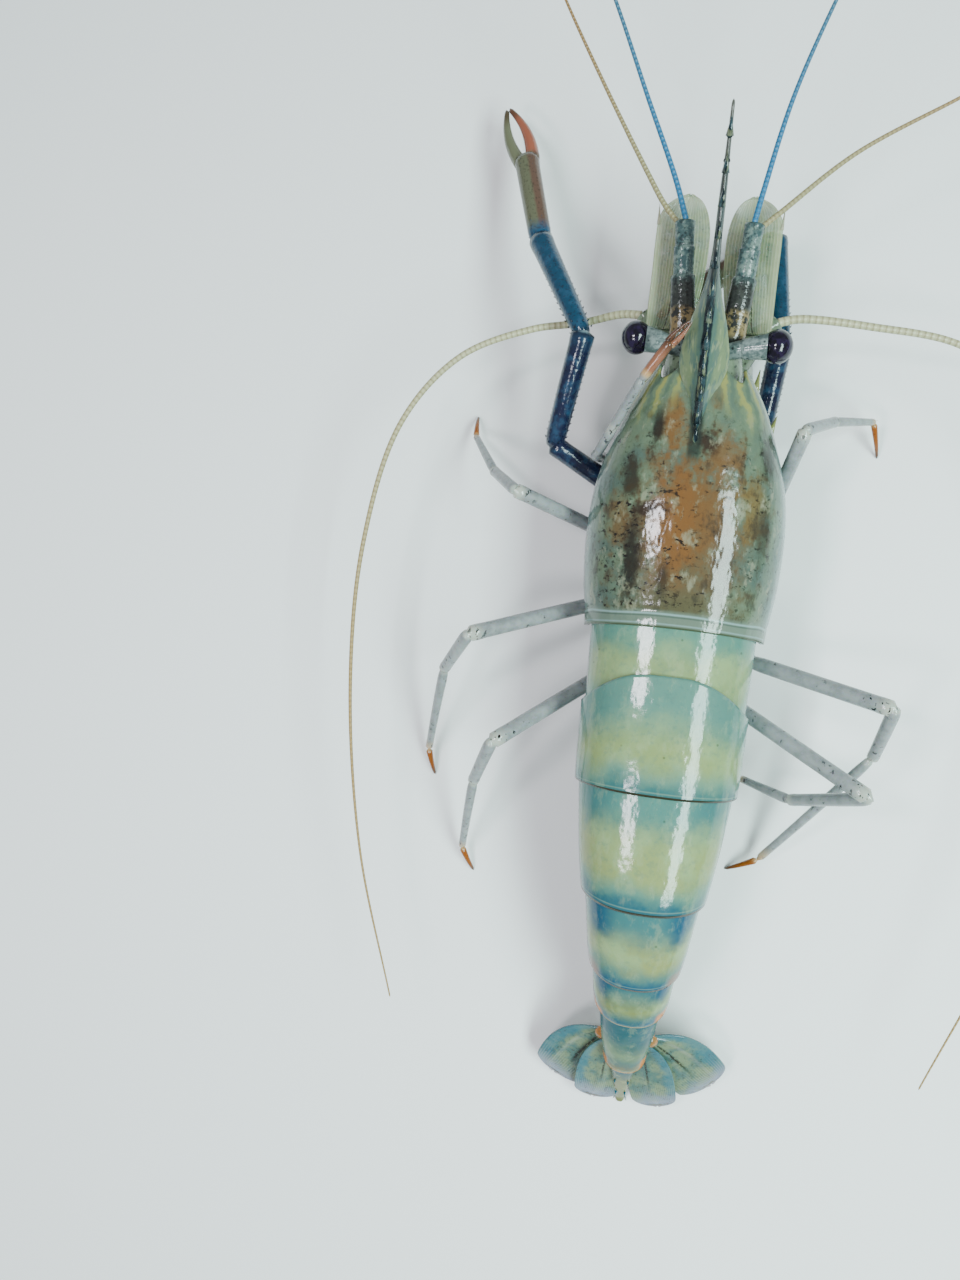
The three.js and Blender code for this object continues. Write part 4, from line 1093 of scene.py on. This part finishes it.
def walking_leg(name, size, joints):
    mesh = bmesh.new()
    joints = [Vector(joint) for joint in joints]
    count = len(LEG_THICKNESS) + 1
    thickness = [(near * size, far * size) for near, far in LEG_THICKNESS]
    for i, (near, far) in enumerate(thickness):
        limb_length(mesh, joints[i], joints[i + 1], near, far, (i / count, (i + 1) / count))
    wrist, tip = joints[-2], joints[-1] + Vector((0, 0, 0.1))
    sag = (tip - wrist).normalized().cross(Vector((0, 0, 1))).cross(tip - wrist).normalized() * 0.5
    shares = [k / HOOF_STEPS for k in range(HOOF_STEPS + 1)]
    claw = [wrist.lerp(tip, t) + sag * math.sin(math.pi * t) for t in shares]

    def claw_radius(t):
        return mix(*HOOF, t) * size * max(rounded(t, 0.08), 0.3)

    tube(mesh, claw, claw_radius, 10, 1, ((count - 1) / count, 1))
    bristles(mesh, joints[-3], joints[-2], 26, 1.5, name)
    piece(name + "_shell", mesh, LEG_PAINT, [name])


for name, (size, joints) in WALKING_LEGS.items():
    walking_leg(name, size, joints)

# %% [markdown]
# The first legs are slender, with a small pincer that cleans the head. The left one is raised beside the
# crest. The second legs are the long claws: blue arms with rows of fine points, a long palm and two
# curved fingers.

# %% First legs and claws
def fingers(mesh, palm, tip, radius, open_by, v_range):
    """Two fingers that bow apart and meet at the tip."""
    palm, tip = Vector(palm), Vector(tip)
    across = (tip - palm).cross(Vector((0, 0, 1))).normalized()

    def finger_radius(t):
        return mix(0.6, 0.17, t**1.2) * radius * max(rounded(t, 0.05), 0.1)

    for side in (-1, 1):
        points = []
        for k in range(21):
            t = k / 20
            bow = radius * mix(0.5, 0.16, t) + open_by * math.sin(math.pi * min(t * 1.05, 1)) ** 0.9
            points.append(palm.lerp(tip, t) + across * side * bow)
        points.insert(0, palm - (tip - palm).normalized() * radius * 0.7 + across * side * radius * 0.35)
        shift = 1 if side < 0 else 0
        span = (v_range[0] + shift, v_range[1] + shift)
        tube(mesh, points, finger_radius, 12, 1, span)


FIRST_LEGS = {
    # joints from the hip to the palm, then the tip of the fingers
    "leg_1_left": (
        [(-8, 37, 14.5), (-20.4, 38.4, 16.5), (-21.6, 36.8, 31), (-12.4, 51.6, 45.4), (-7.4, 58.6, 48.6)],
        (-3.4, 62.8, 50.8),
    ),
    "leg_1_right": (
        [(6, 38.5, 15), (10.6, 45.5, 20.4), (10.8, 55, 19.6), (9, 70, 19.6), (8.2, 77, 19)],
        (7.6, 82.6, 18.4),
    ),
}
FIRST_LEG_THICKNESS = [(1.8, 1.5), (1.4, 1.3), (1.15, 1.0), (1.05, 1.15)]
for name, (joints, tip) in FIRST_LEGS.items():
    mesh = limb(bmesh.new(), joints, FIRST_LEG_THICKNESS)
    fingers(mesh, joints[-1], tip, 1.25, 0.25, (0.8, 1))
    bristles(mesh, joints[-1], tip, 22, 1.6, name, 0.6)
    piece(name + "_shell", mesh, FIRST_LEG_PAINT, [name])

CLAWS = {
    # joints from the hip to the wrist, end of the palm, tip of the fingers, how far the fingers open
    "left": (
        [(-10, 27.5, 14), (-32.6, 39.6, 23), (-27.4, 63.2, 34), (-41.4, 88, 21.5)],
        (-48.2, 109.6, 14.6),
        (-55.4, 124.6, 9.4),
        1.3,
    ),
    "right": (
        [(9.5, 29, 14), (15, 47, 13.5), (17.2, 69, 14), (13.2, 94, 12.5)],
        (-4.6, 81, 10.6),
        (-15, 70.4, 9.6),
        0.3,
    ),
}
ARM_THICKNESS = [(2.65, 2.35), (2.35, 2.7), (2.15, 2.9)]
PALM_THICKNESS, PALM_FLAT = (2.7, 3.0), 0.85
PALM_SHARE = 0.62  # V where the palm ends and the fingers begin


def rows_of_points(mesh, start, end, radius, rows, each):
    """Rows of tiny forward-leaning points along a length of limb."""
    start, end = Vector(start), Vector(end)
    way = (end - start).normalized()
    across = way.cross(Vector((0, 0, 1))).normalized()
    over = across.cross(way)
    for row in range(rows):
        angle = math.tau * row / rows
        out = across * math.cos(angle) + over * math.sin(angle)
        for k in range(each):
            root = start.lerp(end, (k + 0.5 + 0.3 * (row % 2)) / each) + out * radius * 0.9
            spike(mesh, root, root + out * 0.5 + way * 0.5, 0.22, 5)


for side, (joints, palm, tip, open_by) in CLAWS.items():
    arm = limb(bmesh.new(), joints, ARM_THICKNESS, sides=18)
    for i, (near, far) in enumerate(ARM_THICKNESS[1:], 1):
        rows_of_points(arm, joints[i], joints[i + 1], (near + far) / 2, 6, 16)
    piece(f"claw_arm_{side}_shell", arm, CLAW_ARM_PAINT, [f"claw_arm_{side}"])
    hand = bmesh.new()
    wrist = Vector(joints[-1])
    limb_length(hand, wrist, Vector(palm), *PALM_THICKNESS, (0, PALM_SHARE), PALM_FLAT, 18)
    rows_of_points(hand, wrist, palm, 2.6, 6, 14)
    fingers(hand, palm, tip, PALM_THICKNESS[1], open_by, (PALM_SHARE, 1))
    piece(f"claw_hand_{side}_shell", hand, HAND_PAINT, [f"claw_hand_{side}"])

# %% [markdown]
# The head: eyes on stalks, the three-jointed stems of the small feelers, the stout roots of the long
# ones, and the soft front of the body that all of them grow from.

# %% Head, eyes and stems
FACE_SIZE, FACE_CENTRE = (8.8, 11.8, 7.4), (0, 57, 30.5)
STALK_JOINTS = [(3.2, 60.4, 36.4), (8.2, 61.2, 37.6), (13.2, 61.9, 38.2)]
STEM_JOINTS = [(5.4, 64, 35.2), (6.6, 76, 36.4), (7, 82, 37), (7.4, 87.4, 37.2)]
ROOT_JOINTS = [(7.5, 61.5, 26.6), (10.5, 66.4, 26.8), (14.6, 70, 26.9)]
MOUTH_JOINTS = [(3.2, 38, 15.5), (3.4, 50, 16.8), (3, 62, 18.6), (2.6, 74, 19)]
STALK_THICKNESS = [(1.7, 2.1), (2.1, 3.1)]
STEM_THICKNESS = [(2.9, 2.6), (2.2, 2.3), (2.0, 2.2)]
ROOT_THICKNESS = [(3.2, 2.9), (2.4, 1.8)]
MOUTH_THICKNESS = [(1.4, 1.6), (1.5, 1.3), (1.2, 0.65)]
STEM_HAIRS, MOUTH_HAIRS = (150, 50, 40), (60, 60, 60)
EYE_RADIUS = 3.7
EYE_SHIFT = 0.2  # the flattened ball sits this much further out than the solid's centre

face = bmesh.new()
bmesh.ops.create_uvsphere(face, u_segments=40, v_segments=28, radius=1)
bmesh.ops.scale(face, vec=FACE_SIZE, verts=face.verts)
bmesh.ops.translate(face, vec=FACE_CENTRE, verts=face.verts)
piece("face", face, FLESH_PAINT, ["head"])


def mirrored(points, side):
    return [(side * x, y, z) for x, y, z in points]


for word, side in (("right", 1), ("left", -1)):
    eye = bmesh.new()
    bmesh.ops.create_uvsphere(eye, u_segments=48, v_segments=32, radius=EYE_RADIUS)
    bmesh.ops.scale(eye, vec=(0.9, 1, 1), verts=eye.verts)
    eye_at = (side * (EYE_CENTRE.x + EYE_SHIFT), EYE_CENTRE.y, EYE_CENTRE.z)
    bmesh.ops.translate(eye, vec=eye_at, verts=eye.verts)
    piece(f"eye_{word}_ball", eye, EYE_PAINT, [f"eye_{word}"])
    stalk = limb(bmesh.new(), mirrored(STALK_JOINTS, side), STALK_THICKNESS, sides=24)
    piece(f"eyestalk_{word}_shell", stalk, STALK_PAINT, [f"eyestalk_{word}"])
    joints = mirrored(STEM_JOINTS, side)
    stem = limb(bmesh.new(), joints, STEM_THICKNESS, 0.85, 22)
    piece(f"antennule_stem_{word}_shell", stem, STEM_PAINT, [f"antennule_stem_{word}"])
    hairs = bmesh.new()
    for i, count in enumerate(STEM_HAIRS):
        bristles(hairs, joints[i], joints[i + 1], count, 3.9 - 0.4 * i, f"{word}{i}")
    piece(f"antennule_stem_{word}_bristles", hairs, DARK_HAIR_PAINT)
    root = limb(bmesh.new(), mirrored(ROOT_JOINTS, side), ROOT_THICKNESS, sides=20)
    piece(f"antenna_base_{word}_shell", root, FLESH_PAINT, [f"antenna_base_{word}"])
    joints = mirrored(MOUTH_JOINTS, side)
    mouth = limb(bmesh.new(), joints, MOUTH_THICKNESS)
    for i, count in enumerate(MOUTH_HAIRS):
        bristles(mouth, joints[i], joints[i + 1], count, 3.0, f"mouth{word}{i}")
    piece(f"maxilliped_{word}_shell", mouth, MOUTH_LEG_PAINT, [f"maxilliped_{word}"])

# %% [markdown]
# Feelers. A few points give each one's sweep, and a smooth curve through them gives its path. The small
# ones spring in pairs from the stems, blue outside and straw-coloured inside. The long ones leave
# sideways from their roots and sweep back beside the body in the air.

# %% Feelers
CURVE_STEPS = 24


def distances(points):
    """How far along a chain of points each of them is."""
    travelled = [0.0]
    for a, b in zip(points, points[1:]):
        travelled.append(travelled[-1] + (b - a).length)
    return travelled


def sweep(points, count):
    """Evenly spaced points on a smooth curve through the given ones (a centripetal Catmull-Rom curve)."""
    points = [Vector(p) for p in points]
    path = [2 * points[0] - points[1]] + points + [2 * points[-1] - points[-2]]
    fine = []
    for p0, p1, p2, p3 in zip(path, path[1:], path[2:], path[3:]):
        d0, d1, d2 = (math.sqrt((b - a).length) for a, b in ((p0, p1), (p1, p2), (p2, p3)))
        leave = ((p1 - p0) / d0 - (p2 - p0) / (d0 + d1) + (p2 - p1) / d1) * d1
        arrive = ((p2 - p1) / d1 - (p3 - p1) / (d1 + d2) + (p3 - p2) / d2) * d1
        for k in range(CURVE_STEPS):
            t = k / CURVE_STEPS
            fine.append(
                p1 * (2 * t**3 - 3 * t**2 + 1) + leave * (t**3 - 2 * t**2 + t)
                + p2 * (3 * t**2 - 2 * t**3) + arrive * (t**3 - t**2)
            )
    fine.append(points[-1])
    travelled = distances(fine)
    result, i = [], 0
    for k in range(count + 1):
        want = travelled[-1] * k / count
        while i < len(fine) - 2 and travelled[i + 1] < want:
            i += 1
        part = (want - travelled[i]) / (travelled[i + 1] - travelled[i])
        result.append(fine[i].lerp(fine[i + 1], part))
    return result


SMALL_WHIPS = {
    "outer_right": [
        (7.2, 88, 38.4), (8.3, 94, 40.4), (12.2, 112.8, 44),
        (18.6, 131.5, 49), (27, 152, 53), (38, 172, 56),
    ],
    "outer_left": [
        (-7.2, 88, 38.4), (-10.4, 96, 40.4), (-18.2, 112, 44),
        (-27.5, 131, 49), (-38, 150, 53), (-51, 169, 56),
    ],
    "inner_right": [
        (8.4, 87.6, 36.2), (12.4, 91.2, 36.6), (26.6, 103.6, 39),
        (45.5, 114.4, 42), (62, 124, 44), (80, 136, 45),
    ],
    "inner_left": [
        (-8.4, 87.6, 36.2), (-12.4, 92, 36.6), (-16.9, 98.6, 37.4),
        (-29.9, 119.4, 39), (-39.6, 136, 40), (-50, 156, 41),
    ],
}
LONG_WHIPS = {
    "right": [
        (14.9, 70.3, 26.9), (20, 71.6, 26.6), (36, 71, 26), (54.5, 68.3, 26), (71, 58, 27),
        (83, 38, 28), (88, 10, 28), (86, -22, 26), (78, -62, 23), (66, -98, 20),
    ],
    "left": [
        (-14.9, 70.3, 26.9), (-20, 70.6, 25.4), (-29, 68.4, 24.2), (-41, 66, 24.4), (-57, 58, 26),
        (-69, 41, 28), (-75, 12, 28), (-75, -22, 26), (-69, -62, 23), (-58, -98, 20),
    ],
}
SMALL_WHIP = (0.68, 0.2, 0.8, 0.004)  # radius at root and tip, power of the taper, share of the end caps
LONG_WHIP = (1.05, 0.2, 0.75, 0.002)


def whip_tube(points, count, size):
    """A feeler through the given points, in count rings."""
    thick, thin, taper, cap = size

    def radius(t):
        return mix(thick, thin, t**taper) * max(rounded(t, cap), 0.3)

    return tube(bmesh.new(), sweep(points, count), radius, 8)


for name, points in SMALL_WHIPS.items():
    whip = whip_tube(points, 200, SMALL_WHIP)
    paint = BLUE_WHIP_PAINT if "outer" in name else STRAW_WHIP_PAINT
    piece(f"small_whip_{name}", whip, paint, [f"antennule_whip_{name}"])
for name, points in LONG_WHIPS.items():
    whip = whip_tube(points, 420, LONG_WHIP)
    nodes = [f"antenna_whip_near_{name}", f"antenna_whip_far_{name}"]
    piece(f"long_whip_{name}", whip, LONG_WHIP_PAINT, nodes)

# %% [markdown]
# Thin blades: the scales beside the stems and the four side blades of the tail. Each is drawn flat
# between an inner and an outer edge, which are Bezier curves or a smooth line through a few points. A
# grid fills the space between them and is then laid in place. The edge that sweeps water carries a
# fringe of hairs.

# %% Blade helpers
def bezier(a, b, c, d, t):
    a, b, c, d = (Vector(p) for p in (a, b, c, d))
    return a * (1 - t) ** 3 + b * (3 * t * (1 - t) ** 2) + c * (3 * t**2 * (1 - t)) + d * t**3


def chain(start, curves):
    """Points along Bezier curves joined end to end, each given by its last three points."""
    points = [Vector(start)]
    for b, c, d in curves:
        here = points[-1]
        points += [bezier(here, b, c, d, k / CURVE_STEPS) for k in range(1, CURVE_STEPS + 1)]
    return points


def evenly(points, count):
    """The point at each of count + 1 equal steps along a chain of points."""
    travelled = distances(points)
    rows = [list(zip(travelled, values)) for values in zip(*points)]
    return [Vector([along(row, travelled[-1] * k / count) for row in rows]) for k in range(count + 1)]


def blade(inner_edge, outer_edge, place, height, across=26, lengthwise=40):
    """A grid between two edges, which both run from the root to the end."""
    inner, outer = evenly(inner_edge, lengthwise), evenly(outer_edge, lengthwise)

    def at(u, v):
        i = min(round(v * lengthwise), lengthwise)
        p = inner[i].lerp(outer[i], u)
        return place @ Vector((p.x, p.y, height(u, v)))

    return skin(across, lengthwise, at)


def fringe(mesh, edge, place, length, count, seed, lean=0.35, radius=0.07, height=0.0):
    """Hairs that stand out from an edge and lean along it.
    A negative length puts them on the other side of the edge."""
    dice = random.Random(seed)
    points = evenly(edge, count)
    for i in range(1, count):
        way = (points[min(i + 1, count)] - points[i - 1]).normalized()
        out = Vector((way.y, -way.x))
        reach = length * dice.uniform(0.7, 1) * math.sin(math.pi * min(i / count + 0.06, 1)) ** 0.5
        root = points[i] - out * 0.3
        tip = points[i] + (out + way * (lean + dice.uniform(-0.15, 0.15))).normalized() * reach
        up = dice.uniform(-0.12, 0.12)
        spike(mesh, place @ Vector((*root, height)), place @ Vector((*tip, height + up)), radius, 3, 0.3)


# %% Scales beside the stems
SCALE_TILT = math.radians(2)


def scale_place(side):
    lay = Matrix.Translation((0, 66, 30.2)) @ Matrix.Rotation(SCALE_TILT, 4, "X")
    return Matrix.Scale(side, 4, (1, 0, 0)) @ lay


SCALE_OUTER = [(13.9, 0.4), (13.8, 12), (13.7, 24.2), (12.9, 26.6), (11, 28.8), (8.5, 30.0), (7.2, 30.2)]
SCALE_INNER = chain((5.2, 0.4), [((2.8, 4), (1.7, 12), (1.8, 20)), ((1.9, 26), (3.9, 30.2), (7, 30.2))])
SCALE_END = chain((7, 30.2), [((9, 30.2), (11.3, 29), (13, 26.4))])
SCALE_PLATE = 0.35


def scale_height(u, _):
    """Fine ribs along the blade, a deeper groove, and a stout outer edge."""
    groove = 0.1 * math.exp(-((u - 0.55) * 18) ** 2)
    return 0.62 + 0.22 * u**6 + 0.036 * math.sin(u * math.pi * 9) - groove


for word, side in (("right", 1), ("left", -1)):
    place = scale_place(side)
    below = place @ Vector((8, 15, -40))
    scale = blade(SCALE_INNER, [Vector(point) for point in SCALE_OUTER], place, scale_height, 40, 44)
    nodes = [f"antenna_scale_{word}"]
    piece(f"antenna_scale_{word}_blade", scale, SCALE_PAINT, nodes, SCALE_PLATE, below)
    hairs = bmesh.new()
    fringe(hairs, SCALE_END[::-1], place, -0.9, 60, f"scale_end{word}", -0.2, 0.05, 0.45)
    spike(hairs, place @ Vector((13.5, 23.5, 0.6)), place @ Vector((13.75, 28, 0.6)), 0.42, 8)
    piece(f"antenna_scale_{word}_fringe", hairs, HAIR_PAINT)

# %% [markdown]
# The tail: a stout tapering middle plate with two pairs of fine spines, and two blades on each side of it.
# The outer blade has a straight outer edge. Both are thin, with a raised rib, and edged with hairs.

# %% Tail
TELSON_START = 112
TELSON_HALF_WIDTH, TELSON_THICKNESS = (4.1, 0.9), (4.6, 1.1)  # at the root and the tip
TELSON_SPINES = [(124, 1.6, 1.4), (131, 1.1, 1.3)]  # station, x, depth


def telson_place(u, v):
    s = mix(TELSON_START, TELSON_TIP, v)
    half_width = mix(*TELSON_HALF_WIDTH, v**0.9)
    thickness = mix(*TELSON_THICKNESS, v)
    angle = (u - 0.5) * math.tau
    size = rounded(v, 0.05)
    crease = 0.14 * math.cos(2 * angle) ** 2
    x = math.sin(angle) * half_width * size
    depth = 1.2 + thickness / 2 - math.cos(angle) * (thickness / 2) * (1 - crease) * size
    return in_body(s, x, depth)


telson = skin(40, 60, telson_place, wrap=True)
for s, x, depth in TELSON_SPINES:
    for side in (-1, 1):
        spine_tip = in_body(s + 2.2, side * (x + 0.1), depth - 0.4)
        spike(telson, in_body(s, side * x, depth), spine_tip, 0.3, 6)
for side in (-1, 1):
    spike(telson, in_body(134.6, side * 1.1, 2), in_body(137.8, side * 1.7, 2.1), 0.25, 6)

TAIL_BLADES = [
    # name, shape, side, root (x, station, depth), spread, droop and roll in degrees
    ("uropod_inner_right", "inner", 1, (3.6, 113, 6), 16, 31, 8),
    ("uropod_inner_left", "inner", -1, (3.6, 113, 6), 8, 32, 8),
    ("uropod_outer_right", "outer", 1, (6, 112, 7.4), 51, 28, 12),
    ("uropod_outer_left", "outer", -1, (6, 112, 7.4), 33, 30, 10),
]
BLADE_SHAPES = {
    # length, width, how far the outer edge bows out, place of the rib (both as shares of the width)
    "inner": (22.5, 12, 0.56, 0.5),
    "outer": (22.5, 15.5, 0.6, 0.74),
}
TAIL_PLATE = 0.45
BEND = 1.5  # the bend starts this high over the lowest place


def rest_on_floor(mesh, lowest):
    """Bends whatever would sink below a height into a soft curve that lies along the floor."""
    for vert in mesh.verts:
        over = vert.co.z - lowest
        if over < BEND:
            vert.co.z = lowest + BEND * math.exp(over / BEND - 1)
    return mesh


def tail_blade_place(side, root, spread, droop, roll):
    turned = (
        Matrix.Translation(in_body(root[1], side * root[0], root[2]))
        @ Matrix.Scale(side, 4, (1, 0, 0))
        @ Matrix.Rotation(math.pi + math.radians(spread), 4, "Z")
        @ Matrix.Rotation(math.radians(-droop), 4, "X")
        @ Matrix.Rotation(math.radians(roll), 4, "Y")
    )
    return turned @ Matrix.Scale(-1, 4, (1, 0, 0))


def tail_blade_edges(length, width, bow):
    """The inner and the outer edge, from root to end, a little inside the solid's outline."""
    w, full = width - 0.4, length - 0.7

    def edge(start, *shares):
        return chain(start, [[(x * w, y * full) for x, y in shares]])

    outer = edge((1.5, -1.2), (0.62, 0.16), (bow, 0.55), (0.5, 0.86))
    inner = edge((-1.5, -1.2), (-0.3, 0.15), (-0.52, 0.5), (-0.45, 0.88))
    end = edge(outer[-1], (0.47, 1.01), (-0.25, 1.07), (-0.45, 0.88))
    middle = len(end) // 2
    return inner + end[:middle:-1], outer + end[1 : middle + 1], end


for name, kind, side, root, spread, droop, roll in TAIL_BLADES:
    length, width, bow, rib_at = BLADE_SHAPES[kind]
    place = tail_blade_place(side, root, spread, droop, roll)
    inner, outer, end = tail_blade_edges(length, width, bow)

    def blade_height(u, v, rib_at=rib_at):
        rib = 0.35 * math.exp(-(((u - rib_at) * 16) ** 2)) * (1 - smooth(v, 0.6, 0.95))
        second = 0.2 * math.exp(-(((u - 0.4) * 20) ** 2)) * (1 - smooth(v, 0.5, 0.9))
        return 0.62 + rib + second - 0.12 * math.sin(math.pi * u)

    away = place @ Vector((0, length / 2, -40))
    made = blade(inner, outer, place, blade_height, 36, 44)
    made = rest_on_floor(made, 0.55)
    piece(name + "_blade", made, TAIL_BLADE_PAINT, [name], TAIL_PLATE, away)
    knuckle = bmesh.new()
    lay = place @ Matrix.Translation((0, -0.6, 0.45)) @ Matrix.Diagonal((1.9, 1.9, 1.3, 1))
    bmesh.ops.create_uvsphere(knuckle, u_segments=24, v_segments=16, radius=1, matrix=lay)
    piece(name + "_knuckle", knuckle, KNOB_PAINT)
    hairs = bmesh.new()
    fringe(hairs, end, place, -1.0, 110, name, -0.2, 0.05, 0.55)
    piece(name + "_fringe", rest_on_floor(hairs, 0.2), HAIR_PAINT)

piece("telson_shell", rest_on_floor(telson, 0.1), TELSON_PAINT, ["telson"])

# %% [markdown]
# Under the abdomen hang five pairs of swimming feet, each a soft leaf with a fringe. They are seen only
# from below and from the side.

# %% Swimming feet
SWIMMING_FEET = [  # station, x, length
    (9, 7, 13), (27, 7.4, 13.5), (48, 7, 13), (71, 5.8, 11.5), (87, 4.4, 9.5),
]
SIDE_HAIRS = 28
for number, (s, x, length) in enumerate(SWIMMING_FEET, 1):
    for word, side in (("right", 1), ("left", -1)):
        root = in_body(s, side * x, along(ABDOMEN_DEPTH, s) - 1.5)
        tip = root + Vector((side * 1.2, -length * 0.72, -length * 0.62))
        lay = aim(root, tip)
        width = length * 0.25
        leaf = bmesh.new()
        bmesh.ops.create_uvsphere(leaf, u_segments=28, v_segments=20, radius=1)
        reach = (tip - root).length / 2
        for vert in leaf.verts:
            widen = 0.72 + 0.28 * smooth(vert.co.z, -0.8, 0.4)
            vert.co = Vector((vert.co.x * width * widen, vert.co.y * width * 0.26, (vert.co.z + 1) * reach))
        bmesh.ops.transform(leaf, matrix=lay, verts=leaf.verts)
        for k in range(SIDE_HAIRS):
            t = 0.35 + 0.6 * (k // 2) / (SIDE_HAIRS // 2)
            out = 1 if k % 2 else -1
            edge = width * 0.92 * math.sqrt(max(0, 1 - (2 * t - 1) ** 2)) * out
            up = 2 * reach * t
            hair_tip = Vector((edge * 1.06 + out * 0.6, 0, up + 0.5))
            spike(leaf, lay @ Vector((edge, 0, up)), lay @ hair_tip, 0.07, 3)
        name = f"swimmeret_{number}_{word}"
        piece(name + "_leaf", leaf, SWIMMERET_PAINT, [name])
